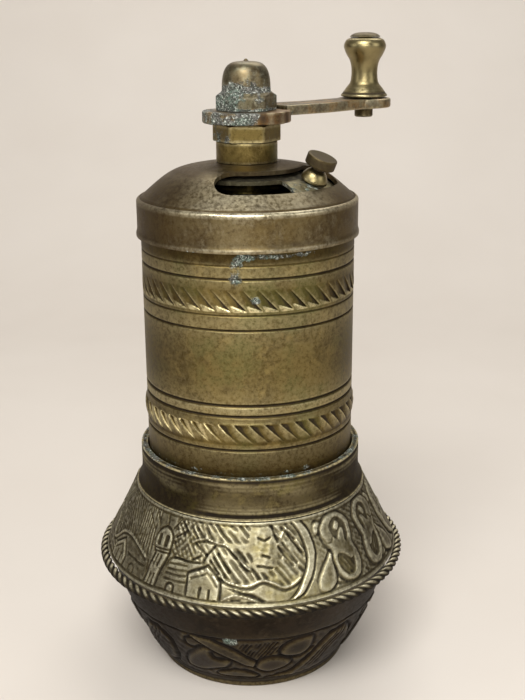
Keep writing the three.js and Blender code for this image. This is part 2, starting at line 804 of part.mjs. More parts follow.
function crankArm() {
  const hub = drum(hubRadius, hubFootZ, hubTopZ);
  const neckX = crankRadius - Math.sqrt(armEyeRadius ** 2 - (armTipWidth / 2) ** 2);
  const sweep = Math.atan2(armTipWidth / 2, neckX - crankRadius);
  const armStart = acornCorner + armStandOff;
  const outline = new THREE.Shape();
  outline.moveTo(armStart, -armRootWidth / 2);
  outline.lineTo(neckX, -armTipWidth / 2);
  outline.absarc(crankRadius, 0, armEyeRadius, -sweep, sweep, false);
  outline.lineTo(armStart, armRootWidth / 2);
  outline.closePath();
  const arm = slab(outline, armFootZ, armTopZ, 2 * curveSteps);
  const corner = (squareSide + 2 * boreGap) / Math.SQRT2;
  const square = slab(polygon(corner, 4, Math.PI / 4), hubFootZ - overcut, hubTopZ + overcut);
  const eye = drum(pinRadius + boreGap, armFootZ - overcut, armTopZ + overcut, 0, holeSteps);
  return toGeometry(hub.add(arm).subtract(square).subtract(eye.translate([crankRadius, 0, 0])));
}

function acornNut() {
  const hexTopZ = acornFootZ + acornHexHeight;
  const bellFootZ = hexTopZ + acornChamfer;
  const bellTopZ = bellFootZ + acornBellHeight;
  const flats = acornCorner * Math.cos(Math.PI / 6);
  const bell = new THREE.CubicBezierCurve(
    point(acornBellRadius, bellFootZ),
    point(acornBellRadius, bellTopZ - 0.1 * acornBellHeight),
    point(acornBellRadius * 0.65, bellTopZ),
    point(acornPipRadius, bellTopZ),
  ).getPoints(curveSteps);
  const corner = acornCorner + boreGap;
  const loop = [
    point(0, acornFootZ),
    point(corner, acornFootZ),
    point(corner, hexTopZ - boreGap),
    point(flats, hexTopZ + acornBevel),
    ...bell,
    point(acornPipRadius, bellTopZ + acornPipHeight),
    point(0, bellTopZ + acornPipHeight),
  ];
  const turned = toSolid(revolve(loop, midSteps));
  const turn = rad(acornTurn - crankAngle);
  const hexagon = slab(polygon(acornCorner, 6, turn), acornFootZ, hexTopZ + acornBevel);
  const above = drum(flats, hexTopZ, bellTopZ + overcut);
  const boreTop = studTopZ + fitGap;
  const bore = drum(studRadius + boreGap, acornFootZ - overcut, boreTop, 0, fineSteps);
  return toGeometry(turned.intersect(hexagon.add(above)).subtract(bore));
}

// Rivet that the knob turns on: domed head above, upset tail under the arm.
function knobPin() {
  const headFootZ = knobFootZ + knobHeight + stackGap;
  const headTopZ = headFootZ + pinHeadHeight;
  const tailTopZ = armFootZ - fitGap / 2;
  const dome = new THREE.QuadraticBezierCurve(
    point(pinHeadRadius, headFootZ + pinHeadEdge),
    point(pinHeadRadius * 0.75, headTopZ),
    point(0, headTopZ),
  ).getPoints(4);
  const loop = [
    point(0, tailTopZ - pinTailHeight),
    point(pinTailRadius, tailTopZ - pinTailHeight),
    point(pinTailRadius, tailTopZ),
    point(pinRadius, tailTopZ),
    point(pinRadius, headFootZ),
    point(pinHeadRadius, headFootZ),
    ...dome,
  ];
  return revolve(loop, fineSteps).translate(crankRadius, 0, 0);
}

// Spool-shaped knob: wide foot, waist and round head.
function crankKnob() {
  const side = knobSide.map(([radius, height]) => point(radius, knobFootZ + height));
  const bore = pinRadius + boreGap;
  const loop = [
    point(bore, knobFootZ),
    point(knobFootRadius, knobFootZ),
    ...new THREE.SplineCurve(side).getPoints(16),
    point(bore, knobFootZ + knobHeight),
  ];
  return revolve(loop, fineSteps).translate(crankRadius, 0, 0);
}

// Assembly

const agedBrass = { color: "#7d6a3a", roughness: 0.42, metalness: 0.9 };
const brownBrass = { color: "#5f4f31", roughness: 0.45, metalness: 0.85 };
const darkBrass = { color: "#3f3422", roughness: 0.5, metalness: 0.8 };
const paleBrass = { color: "#9a8a58", roughness: 0.38, metalness: 0.9 };
const greySteel = { color: "#6a6863", roughness: 0.45, metalness: 0.9 };
const castIron = { color: "#35322e", roughness: 0.65, metalness: 0.7 };

function piece(name, geometry, finish) {
  const mesh = new THREE.Mesh(geometry, new THREE.MeshStandardMaterial(finish));
  mesh.name = name;
  return mesh;
}

const cup = new THREE.Group();
cup.add(
  piece("base_bowl", baseBowl(), darkBrass),
  piece("rope_ring", ropeRing(), paleBrass),
  piece("base_shoulder", baseShoulder(), paleBrass),
  piece("base_collar", baseCollar(), brownBrass),
);

const body = new THREE.Group();
body.add(
  piece("body_tube", bodyTube(), agedBrass),
  piece("outer_burr", outerBurr(), castIron),
  piece("bridge_bar", bridgeBar(), greySteel),
  piece("cap", cap(), brownBrass),
  piece("neck_bush", neckBush(), agedBrass),
  piece("neck_ring", neckRing(), agedBrass),
  piece("neck_nut", neckNut(), agedBrass),
  piece("bush_nut", bushNut(), agedBrass),
  piece("shutter_washer", shutterWasher(), agedBrass),
);
for (const side of [-1, 1]) {
  const screw = piece(`bridge_screw_${side < 0 ? 1 : 2}`, bridgeScrew(), greySteel);
  screw.position.x = side * bridgeScrewOffset;
  body.add(screw);
}

const shutter = new THREE.Group();
shutter.add(
  piece("shutter_plate", shutterPlate(), paleBrass),
  piece("shutter_knob", shutterKnob(), paleBrass),
);

const adjuster = new THREE.Group();
adjuster.add(
  piece("adjusting_screw", adjustingScrew(), greySteel),
  piece("thrust_ball", thrustBall(), greySteel),
);

const crank = new THREE.Group();
crank.rotation.z = rad(crankAngle);
crank.add(
  piece("shaft", shaft(), greySteel),
  piece("inner_burr", innerBurr(), castIron),
  piece("cross_pin", crossPin(), greySteel),
  piece("crank_arm", crankArm(), brownBrass),
  piece("acorn_nut", acornNut(), brownBrass),
  piece("knob_pin", knobPin(), paleBrass),
  piece("crank_knob", crankKnob(), paleBrass),
);

const grinder = new THREE.Group();
grinder.add(cup, body, shutter, adjuster, crank);

export default grinder;
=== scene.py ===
"""Looks of the brass spice grinder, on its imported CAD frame.

Each surface that shows is a grid of points worked out with numpy, in millimetres: rows follow a
section and columns go round the axis. Sections are (radius, height) points, anticlockwise.
The pieces inside keep their CAD shape and get a finish.
"""

import math

import bmesh
import bpy
import numpy as np
from bpy.props import FloatProperty, FloatVectorProperty, IntProperty, PointerProperty
from bpy.types import Operator, Panel, PropertyGroup
from mathutils import Matrix


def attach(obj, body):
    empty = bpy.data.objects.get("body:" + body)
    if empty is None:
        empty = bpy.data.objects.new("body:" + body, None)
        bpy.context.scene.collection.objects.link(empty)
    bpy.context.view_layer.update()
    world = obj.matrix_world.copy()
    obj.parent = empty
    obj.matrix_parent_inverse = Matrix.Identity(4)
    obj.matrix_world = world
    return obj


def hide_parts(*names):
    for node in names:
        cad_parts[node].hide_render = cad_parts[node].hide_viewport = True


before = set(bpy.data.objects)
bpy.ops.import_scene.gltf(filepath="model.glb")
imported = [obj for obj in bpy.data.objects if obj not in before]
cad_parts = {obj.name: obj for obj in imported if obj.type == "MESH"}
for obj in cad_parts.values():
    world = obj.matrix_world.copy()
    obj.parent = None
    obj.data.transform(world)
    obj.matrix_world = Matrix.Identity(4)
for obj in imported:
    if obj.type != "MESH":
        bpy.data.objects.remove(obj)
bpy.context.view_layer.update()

bl_info = {
    "name": "Brass spice grinder",
    "version": (1, 0, 0),
    "blender": (4, 5, 0),
    "location": "3D View > Sidebar > Grinder",
    "description": "Surfaces and finishes of a brass spice grinder",
    "category": "Add Mesh",
}

MM = 0.001
# Marks on each point: relief, with painted highlights and painted shade laid over it; crust of copper
# salts; tarnish, with painted shade laid over it
MARKS = ("relief_and_shading", "crust", "tarnish_and_shade")

# Heights of the CAD model, mm
BOWL_FLOOR, BOWL_TOP = 1.2, 25.25
SHOULDER_FOOT, SHOULDER_TOP = 26.7, 41.4
COLLAR_FOOT, COLLAR_LIP = 41.7, 50.45
LEDGE_TOP = 37.0
TUBE_FOOT, TUBE_TOP = 37.3, 103.1
SKIRT_FOOT, CREASE, SEAT_TOP = 96.8, 104.7, 111.5
RING_FOOT, RING_TOP = 111.6, 115.75
NUT_FOOT, NUT_TOP = 115.85, 119.2
HUB_FOOT, HUB_TOP = 119.5, 121.9
ARM_FOOT = 120.6
ACORN_FOOT, ACORN_TOP = 122.0, 132.1
KNOB_FOOT = 123.0
PIN_HEAD, PIN_TOP = 135.8, 136.8

# Radii of the CAD model, mm, and the crank's angle from +X, degrees
FOOT_RADIUS, BOWL_RADIUS = 21.6, 32.0
COLLAR_RADIUS, COLLAR_BORE = 24.2, 22.8
TUBE_RADIUS, SPIGOT_RADIUS, TUBE_BORE = 22.5, 22.1, 21.5
SEAT_RADIUS, CREASE_RADIUS, SKIRT_RADIUS = 7.0, 22.2, 23.2
SLOT_CENTRE = 15.3
CRANK_RADIUS = 34.8
CRANK_ANGLE = 40.5

# The shutter's plate lies this far under the top of the cap, mm, and its knob at this angle from +X
PLATE_DROP, SHUTTER_ANGLE = 1.65, -30

# The rope lies 0.3 mm lower than in the CAD model, and the shoulder's foot follows it, mm
ROPE_LEVEL, ROPE_CENTRE, ROPE_RADIUS = 25.1, 33.5, 0.96
SHOULDER_DROP = 0.35

# New pieces: finish, body, the CAD node that each stands for, and its slot
PIECES = {
    "bowl": ("bowl", "cup", "base_bowl", "dark_brass"),
    "rope": ("rope", "cup", "rope_ring", "pale_brass"),
    "shoulder": ("shoulder", "cup", "base_shoulder", "pale_brass"),
    "collar": ("collar", "cup", "base_collar", "brown_brass"),
    "tube": ("tube", "barrel", "body_tube", "aged_brass"),
    "cap_spun": ("cap", "barrel", "cap", "brown_brass"),
    "shutter_plate_sheet": ("shoulder", "shutter", "shutter_plate", "pale_brass"),
    "shutter_knob_turned": ("knob", "shutter", "shutter_knob", "pale_brass"),
    "neck_ring_turned": ("tube", "barrel", "neck_ring", "aged_brass"),
    "neck_nut_faced": ("tube", "barrel", "neck_nut", "aged_brass"),
    "crank_arm_forged": ("arm", "crank", "crank_arm", "brown_brass"),
    "acorn_nut_domed": ("nut", "crank", "acorn_nut", "brown_brass"),
    "knob_rivet": ("knob", "crank", "knob_pin", "brown_brass"),
    "knob_turned": ("knob", "knob", "crank_knob", "pale_brass"),
}

# Middle radii on which the ornament of shoulder and bowl is drawn, mm
SHOULDER_GIRTH, BOWL_GIRTH = 29.0, 27.6


# Curves and sections


def smooth(x, low, high):
    """Eases from 0 at low to 1 at high: t t (3 - 2 t)."""
    t = np.clip((x - low) / (high - low), 0, 1)
    return t * t * (3 - 2 * t)


def hump(distance, half):
    """A rounded hump: (1 + cos(pi d / half)) / 2 out to half, and 0 beyond."""
    return 0.5 * (1 + np.cos(np.pi * np.clip(np.abs(distance) / half, 0, 1)))


def near(value, middle, spread):
    """Strength close to a middle value: exp(-(value - middle)^2 / spread)."""
    return np.exp(-((value - middle) ** 2) / spread)


def bezier(points, steps):
    """Bezier curve of any degree: neighbours are blended by t until one point is left."""
    t = np.linspace(0, 1, steps + 1)[:, None]
    rows = [np.asarray(p, float) + 0 * t for p in points]
    while len(rows) > 1:
        rows = [a * (1 - t) + b * t for a, b in zip(rows, rows[1:])]
    return rows[0]


def through(points, steps, closed=False):
    """Smooth curve through points a, b, c, d, between b and c:
    (2 b + (c - a) t + (2 a - 5 b + 4 c - d) t^2 + (3 b - a - 3 c + d) t^3) / 2."""
    p = np.asarray(points, float)
    if closed:
        padded = np.vstack([p[-1:], p, p[:2]])
    else:
        padded = np.vstack([p[:1], p, p[-1:]])
    t = np.linspace(0, 1, steps, endpoint=False)[None, :, None]
    a, b, c, d = (padded[k : len(padded) - 3 + k, None] for k in range(4))
    curve = 2 * b + (c - a) * t + (2 * a - 5 * b + 4 * c - d) * t**2 + (3 * b - a - 3 * c + d) * t**3
    curve = 0.5 * curve.reshape(-1, p.shape[1])
    return curve if closed else np.vstack([curve, p[-1:]])


def eased(corners, steps=3):
    """Section with rounded corners. A corner (r, z, reach) becomes the quadratic curve from
    reach before it to reach after it; one with no reach stays sharp."""
    points = np.array([c[:2] for c in corners], float)
    out = []
    for k, corner in enumerate(corners):
        reach = corner[2] if len(corner) > 2 else 0
        if not reach:
            out.append(points[k : k + 1])
            continue
        before, after = points[k - 1] - points[k], points[k + 1] - points[k]
        start = points[k] + before * reach / np.linalg.norm(before)
        stop = points[k] + after * reach / np.linalg.norm(after)
        out.append(bezier([start, points[k], stop], steps))
    return np.concatenate(out)


def spaced(line, step):
    """The same line with points added, so that none lie further apart than step."""
    out = [line[:1]]
    for a, b in zip(line, line[1:]):
        count = max(1, math.ceil(np.linalg.norm(b - a) / step))
        out.append(a + (b - a) * np.linspace(0, 1, count + 1)[1:, None])
    return np.concatenate(out)


def outward(section):
    """Unit normals of a section: its tangent turned clockwise."""
    along = np.gradient(section, axis=0)
    along /= np.linalg.norm(along, axis=1, keepdims=True) + 1e-12
    return np.stack([along[:, 1], -along[:, 0]], -1)


def edge_wear(section, reach=0.45):
    """How a section bends: each point less the mean of the points a reach before and behind it,
    along the normal, over the reach. Above 0 on an outer edge and below 0 in a corner."""
    steps = np.linalg.norm(np.diff(section, axis=0), axis=1)
    s = np.concatenate([[0], np.cumsum(steps)])
    sides = [
        np.stack([np.interp(s + d, s, section[:, k]) for k in (0, 1)], -1) for d in (-reach, reach)
    ]
    off = section - (sides[0] + sides[1]) / 2
    return (off * outward(section)).sum(1) / reach


def local_relief(height, passes=4):
    """Height less its own blur, over the largest difference: ridges above 0, hollows below."""
    blur = height
    for _ in range(passes):
        blur = (blur + np.roll(blur, 2, 1) + np.roll(blur, -2, 1)) / 3
        up = np.vstack([blur[:1], blur[:1], blur[:-2]])
        down = np.vstack([blur[2:], blur[-1:], blur[-1:]])
        blur = (blur + up + down) / 3
    return (height - blur) / (np.abs(height - blur).max() + 1e-9)


# Grids into pieces


def shell(grid, ends, relief_and_shading, tarnish_and_shade=0.0):
    """Faces of a grid whose columns close on themselves. ends says what the first and last row do:
    "poles", each is one point; "ring", they meet; "open", each is an edge."""
    rows, columns = grid.shape[:2]
    number = np.arange(rows * columns).reshape(rows, columns)
    if ends == "poles":
        number[0], number[-1] = number[0, 0], number[-1, 0]
    above = np.roll(number, -1, 0) if ends == "ring" else number[1:]
    below = number[: len(above)]
    corners = np.stack([below, np.roll(below, -1, 1), np.roll(above, -1, 1), above], -1)
    if ends == "poles":
        corners[0] = np.roll(corners[0], 2, -1)
    made = {"points": grid.reshape(-1, 3), "quads": corners.reshape(-1, 4)}
    for mark, value in zip(MARKS, (relief_and_shading, 0.0, tarnish_and_shade)):
        made[mark] = (np.zeros((rows, columns)) + value).reshape(-1)
    return made


def turned(section, columns, ends="poles", height=0.0, twist=0.0, wear=1.0):
    """Section carried round the axis and pushed out by a height along its normal:
    (r cos a, r sin a, z), with a = 2 pi j / columns + twist."""
    normal = outward(section)
    r = section[:, :1] + normal[:, :1] * height
    z = section[:, 1:] + normal[:, 1:] * height
    a = np.linspace(0, 2 * np.pi, columns, endpoint=False) + np.reshape(twist, (-1, 1))
    grid = np.stack(np.broadcast_arrays(r * np.cos(a), r * np.sin(a), z), -1)
    relief_and_shading = wear * edge_wear(section)[:, None]
    if np.ndim(height) == 2:
        relief_and_shading = relief_and_shading + local_relief(height)
    return shell(grid, ends, relief_and_shading)


def moved(part, matrix):
    """A shell turned and moved by a 4 x 4 matrix, in millimetres."""
    m = np.array(matrix)
    return {**part, "points": part["points"] @ m[:3, :3].T + m[:3, 3]}


def to_crank(part, along=0.0):
    """A shell made on the Z axis, set on the crank at a distance from the shaft."""
    turn = Matrix.Rotation(math.radians(CRANK_ANGLE), 4, "Z")
    return moved(part, turn @ Matrix.Translation((along, 0, 0)))


def blot(part, angle, radius, height, reach):
    """Strength of a round blot: exp(-(d / reach)^2) from a point at an angle, radius and height."""
    a = math.radians(angle - 90)
    centre = (radius * math.cos(a), radius * math.sin(a), height)
    return np.exp(-((part["points"] - centre) ** 2).sum(1) / reach**2)


def from_front(part):
    """Angle of each point from the front, in degrees: 0 at -Y, above 0 toward +X."""
    x, y = part["points"][:, 0], part["points"][:, 1]
    return np.degrees(np.arctan2(x, -y))


def side_shade(part, low, high, middle=6):
    """Painted shade on the sides: eases from 0 near a middle angle, where the light falls, to 1, by the
    smooth ease of the angle from low to high. It comes back to a half at the back."""
    turn = np.abs(from_front(part) - middle)
    return smooth(turn, low, high) * (1 - 0.5 * smooth(turn, 110, 170))


def add_piece(name, *shells, crease=38):
    """Joins shells into one mesh at the origin, in metres, with its marks as vertex attributes. The
    name's row in PIECES says the rest."""
    finish, body, replaced, slot = PIECES[name]
    starts = np.cumsum([0] + [len(s["points"]) for s in shells])
    points = np.concatenate([s["points"] for s in shells]) * MM
    quads = np.concatenate([s["quads"] + start for s, start in zip(shells, starts)])
    keep = np.ones(quads.shape, bool)
    keep[:, 3] = quads[:, 3] != quads[:, 2]
    used, corner = np.unique(quads[keep], return_inverse=True)
    mesh = bpy.data.meshes.new(name)
    mesh.vertices.add(len(used))
    mesh.vertices.foreach_set("co", points[used].astype(np.float32).ravel())
    mesh.loops.add(len(corner))
    mesh.loops.foreach_set("vertex_index", corner.astype(np.int32))
    mesh.polygons.add(len(quads))
    mesh.polygons.foreach_set("loop_start", np.cumsum([0, *keep.sum(1)[:-1]]).astype(np.int32))
    mesh.update(calc_edges=True)
    for mark in MARKS:
        values = np.concatenate([s[mark] for s in shells])[used].astype(np.float32)
        mesh.attributes.new(mark, "FLOAT", "POINT").data.foreach_set("value", values)
    mesh.shade_smooth()
    mesh.set_sharp_from_angle(angle=math.radians(crease))
    mesh.materials.append(aged_brass(finish))
    piece = bpy.data.objects.new(name, mesh)
    bpy.context.scene.collection.objects.link(piece)
    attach(piece, body)
    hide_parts(replaced)
    return piece


# Chased ornament, worked out on a flat strip: x along the girth and y up the slope, mm


def nearest(x, y, line):
    """Distance to a line: for each part a to b, the point at t = (p - a).(b - a) / |b - a|^2."""
    best = np.full(x.shape, 1e9)
    for (ax, ay), (bx, by) in zip(line, line[1:]):
        dx, dy = bx - ax, by - ay
        t = np.clip(((x - ax) * dx + (y - ay) * dy) / (dx * dx + dy * dy + 1e-12), 0, 1)
        best = np.minimum(best, (x - ax - t * dx) ** 2 + (y - ay - t * dy) ** 2)
    return np.sqrt(best)


def inside(x, y, outline):
    """Distance inside a closed outline, below 0 outside it, by counting crossings."""
    closed = np.vstack([outline, outline[:1]])
    within = np.zeros(x.shape, bool)
    for (ax, ay), (bx, by) in zip(closed, closed[1:]):
        if ay != by:
            crossing = ax + (y - ay) * (bx - ax) / (by - ay)
            within ^= ((ay > y) != (by > y)) & (x < crossing)
    return np.where(within, 1, -1) * nearest(x, y, closed)


def cut(height, x, y, line, half, depth):
    """A chased line: depth times a hump of the distance to it."""
    return height - depth * hump(nearest(x, y, np.asarray(line, float)), half)


def cut_all(height, x, y, rows):
    """Chased lines: each row is a half width, a depth and the lines that have them."""
    for half, depth, *lines in rows:
        for line in lines:
            height = cut(height, x, y, line, half, depth)
    return height


def strokes(height, x, y, mask, degrees, spacing, length, depth=0.3, seed=1):
    """Parallel cuts broken into strokes. Line number k = floor(across / spacing) has a start, length
    and depth of its own, and each stroke thins out at both ends."""
    a = math.radians(degrees)
    along = x * math.cos(a) + y * math.sin(a)
    across = (x * math.sin(a) - y * math.cos(a)) / spacing
    line = np.floor(across).astype(int) % 512
    start, long, deep = np.random.default_rng(seed).uniform(0, 1, (3, 512))[:, line]
    place = along / (length * (0.7 + 0.6 * long)) + start
    pen = 1 - smooth(np.abs(place % 1 - 0.5), 0.33, 0.48)
    groove = hump(across % 1 - 0.5, 0.24 + 0.2 * pen)
    return height - depth * (0.5 + 0.5 * deep) * mask * pen * groove


def waver(angle, y, size, seed, radius=SHOULDER_GIRTH):
    """Smooth random waves about size mm long, from about -1 to 1, that close round the girth: sines
    along random directions through the point (R cos a, R sin a, y)."""
    rng = np.random.default_rng(seed)
    a = np.radians(angle)
    place = np.stack([radius * np.cos(a), radius * np.sin(a), y + 0 * a], -1)
    ways = rng.normal(size=(9, 3))
    waves = 2 * np.pi / size * rng.uniform(0.7, 1.4, (9, 1))
    ways *= waves / np.linalg.norm(ways, axis=1, keepdims=True)
    return np.sin(place @ ways.T + rng.uniform(0, 2 * np.pi, 9)).sum(-1) / 3


def pad(height, x, y, outline, rise=0.3, edge=0.5):
    """A raised patch with rounded edges: rise times an ease from the outline inward."""
    depth_in = inside(x, y, np.asarray(outline, float))
    return height + rise * smooth(depth_in, -0.1, edge), depth_in


def arch(centre, width, top, foot):
    """Outline of an arched opening: upright sides and a half circle."""
    a = np.linspace(np.pi, 0, 9)
    half = width / 2
    crown = np.stack([centre + half * np.cos(a), top - half + half * np.sin(a)], -1)
    return np.vstack([[centre - half, foot], crown, [centre + half, foot]])


def house(height, x, y, left, right, eaves, ridge, lean=0.4):
    """Gabled house: raised wall, a double line along its gable and an arched door."""
    peak = (left + right) / 2 + lean
    low_eaves = eaves - 0.6
    wall = [(left, 0), (right, -0.3), (right, low_eaves), (peak, ridge), (left, eaves)]
    height, _ = pad(height, x, y, wall, 0.2, 0.4)
    gable = [(left + 0.3, 0.4), (left, eaves), (peak, ridge), (right, low_eaves), (right - 0.3, 0)]
    inner = [(left + 0.9, eaves - 0.8), (peak, ridge - 1.5), (right - 0.9, eaves - 1.4)]
    half = (right - left) * 0.13
    jambs = [[(peak + s * (half - 0.1), 3.0), (peak + s * half, 0.6)] for s in (-1, 1)]
    return cut_all(height, x, y, [(0.45, 0.5, gable), (0.34, 0.3, inner), (0.34, 0.45, *jambs)])


def medallion(x, y):
    """Landscape between two crescents: tower, houses, palm, rock and pool under a hatched sky."""
    outer = through([(31.2, 16.4), (33.0, 13.7), (33.6, 10.3), (33.3, 7.5), (32.0, 4.5), (29.9, 2.2),
                     (27.4, 0.8)], 5)
    inner = through([(26.2, 0.8), (28.8, 3.2), (30.3, 5.2), (31.2, 7.9), (31.3, 10.7), (30.5, 13.7),
                     (28.8, 16.4)], 5)
    field = smooth(inside(x, y, np.vstack([inner * (-1, 1), inner[::-1]])), 0.0, 0.4)

    # What stands before the sky
    head = through([(-1.9, 7.0), (-3.1, 9.4), (-2.4, 11.8), (-0.5, 13.1), (1.2, 11.8), (1.7, 9.6),
                    (1.5, 7.2)], 4)
    tower = np.vstack([(-3.4, 0.2), (-2.6, 4.6), head, (0.6, 4.4), (-0.2, 0.6)])
    roof = np.array([(1.6, 5.2), (3.0, 7.5), (9.8, 7.6), (7.0, 5.2)])
    arc = through([(7.2, 11.6), (8.3, 12.3), (10.1, 12.7), (12.5, 12.0), (14.3, 11.7), (16.1, 10.3),
                   (17.8, 8.3), (19.6, 7.0)], 4)
    horizon = through([(13.4, 5.6), (16.3, 4.4), (19.3, 4.2), (22.0, 5.1), (23.9, 4.4), (26.1, 3.6),
                       (29.5, 4.6)], 4)
    land = np.vstack([horizon, (30, 0), (13.8, 0)])
    rock = through([(19.9, 15.1), (21.7, 15.8), (23.9, 14.9), (24.6, 12.9), (25.1, 10.8), (24.4, 7.7),
                    (22.5, 6.7), (20.5, 7.2), (20.2, 10.3), (19.4, 13.1)], 4, True)
    west = through([(-31, 5.0), (-26.5, 8.6), (-22.5, 7.4), (-19.0, 3.6), (-15.1, 6.8), (-10.7, 7.6),
                    (-4.4, 5.4)], 4)
    west_land = np.vstack([west, (-3.6, 0), (-31, 0)])
    front = np.maximum.reduce([inside(x, y, shape) for shape in (tower, roof, land, rock, west_land)])
    town = (x > 1.4) & (x < 13.8) & (y < 5.4)
    sky = field * (1 - smooth(front, -0.5, -0.1)) * (1 - town)

    # Strokes over the land, upright lines behind the tower, and a hatched foot at the left
    east = smooth(x, 2.6, 4.0)
    low_left = (1 - smooth(x, -17, -16)) * smooth(y, 0.8, 1.2) * (1 - smooth(y, 3.4, 4.0))
    height = np.zeros(x.shape)
    for mask, *pen in (
        (sky * east * smooth(y, 12.0, 12.6), -44, 1.25, 8.0, 0.5, 3),
        (sky * east * (1 - smooth(y, 10.6, 11.6)) * smooth(x, 10.6, 11.4), -50, 1.2, 7.0, 0.5, 8),
        (sky * smooth(x, 1.4, 2.2) * (1 - smooth(x, 10, 11)), -52, 0.95, 3.6, 0.3, 5),
        (sky * smooth(x, 1.2, 2.0) * (1 - smooth(x, 6.0, 7.4)), 50, 1.1, 2.8, 0.26, 6),
        (sky * (1 - smooth(x, -3.6, -3.0)) * smooth(x, -10.4, -9.6), -84, 0.8, 7.0, 0.42, 9),
        (sky * (1 - smooth(x, -10.8, -9.8)), -58, 1.0, 4.6, 0.42, 4),
        (field * (1 - town) * low_left, -8, 0.85, 5.0, 0.26, 12),
    ):
        height = strokes(height, x, y, mask, *pen)

    # Raised tower and roof, the tower's windows, the two houses and the dark wedge of the pool
    height += 0.24 * smooth(inside(x, y, tower), -0.1, 0.7) + 0.12 * smooth(inside(x, y, roof), -0.1, 0.4)
    for centre in (-1.6, 0.25):
        height, _ = pad(height, x, y, arch(centre, 1.05, 11.4, 9.0), -0.42, 0.2)
    height = house(height, x, y, 6.8, 13.8, 5.2, 7.4)
    height = house(height, x, y, -16.6, -10.6, 3.6, 6.2)
    wedge = [(14.5, 3.5), (17.1, 3.3), (19.7, 2.9), (22.2, 1.4), (22.9, 0.0), (20.1, 1.9), (17.1, 2.7)]
    height, _ = pad(height, x, y, wedge, -0.5, 0.35)

    # Chased lines: rays, tower, its bands and flared foot, roof, low wall, palm leaves, rock, pool
    feet = (-2.0, -1.0, 0.0)
    tiles = (7.5, 6.4, 5.4, 4.5, 3.5)
    height = cut_all(height, x, y, [
        (0.3, 0.34, [(-7.9, 14.8), (-4.2, 11.6)], [(-5.2, 15.6), (-2.9, 12.8)],
         [(-1.0, 15.6), (-0.6, 13.6)], [(1.1, 13.2), (2.8, 15.4)], [(2.2, 11.6), (4.6, 13.4)],
         arch(-7.6, 1.7, 2.8, 0.6)),
        (0.34, 0.34, tower),
        (0.26, 0.3, [(-10.4, 4.1), (-4.2, 3.7)], [(-2.5, 7.6), (1.6, 7.8)], [(-2.5, 8.3), (1.6, 8.5)],
         *([(foot - 0.6, 3.4), (foot - 1.1, 1.2)] for foot in feet)),
        (0.32, 0.45, *([(foot, 6.9), (foot - 0.5, 4.9)] for foot in feet)),
        (0.3, 0.28, *([(1.1 + 0.2 * level, level - 0.2), (6.4, level)] for level in tiles)),
        (0.34, 0.36, [(3.0, 7.5), (9.9, 7.6)]),
        (0.42, 0.46, [(11.2, 8.3), (14.4, 4.7)], [(11.9, 9.1), (14.9, 5.6)], [(12.8, 9.9), (15.6, 6.6)]),
        (0.34, 0.42, arch(3.4, 1.6, 2.8, 0.5)),
        (0.4, 0.44, [(7.8, 11.2), (10.2, 9.3)], [(11.9, 11.3), (10.2, 9.3)], [(10.2, 9.3), (9.6, 7.9)],
         [(8.8, 9.0), (7.4, 8.2)]),
        (0.36, 0.44, [(21.2, 13.3), (22.6, 12.9), (23.8, 13.4)], [(24.4, 15.6), (24.9, 13.6), (25.4, 12.2)],
         [(22.0, 9.8), (23.4, 9.4)], [(21.0, 7.6), (23.8, 7.3)]),
        (0.4, 0.48, [(25.4, 11.4), (28.2, 7.2)], [(26.4, 11.9), (29.0, 7.8)], [(27.9, 13.6), (30.4, 9.6)]),
        (0.36, 0.4, [(16.0, 1.5), (17.4, 1.5)]),
        (0.34, 0.4, [(19.0, 1.2), (20.2, 1.1)]),
    ])

    # Raised lines, each with a cut below it: palm, horizon and the hills at the left
    for line, half, rise, drop, cut_half, depth in (
        (arc, 0.42, 0.34, (0.1, 0.55), 0.4, 0.3),
        (horizon, 0.4, 0.3, (0, 0.6), 0.42, 0.34),
        (west, 0.45, 0.24, (0, 0.55), 0.4, 0.3),
    ):
        height += field * rise * hump(nearest(x, y, line), half)
        height = cut(height, x, y, line - drop, cut_half, depth * field)
    grain = 0.16 + 0.07 * np.sin(2.6 * x + 1.7 * y) * np.sin(3.1 * y - x)
    height += field * grain * smooth(inside(x, y, rock), -0.1, 1.4)
    frond = through([(25.3, 11.4), (26.5, 13.5), (27.8, 14.6), (29.4, 13.0), (30.8, 10.0), (30.9, 7.6)], 4)
    height += 0.26 * hump(nearest(x, y, frond), 0.4)
    lens = through([(14.2, 1.5), (17.1, 2.4), (20.1, 1.7), (21.8, 0.5), (18.6, 0.7), (15.7, 0.8)], 4, True)
    height += 0.34 * hump(nearest(x, y, np.vstack([lens, lens[:1]])), 0.35)

    # Crescents at both ends
    for side in (1, -1):
        depth_in = inside(x * side, y, np.vstack([outer, inner]))
        height = height * (1 - smooth(depth_in, -0.2, 0.1)) + 0.42 * smooth(depth_in, -0.1, 0.6)
        height = cut_all(height, x * side, y, [(0.42, 0.5, outer), (0.3, 0.34, inner)])
    return height


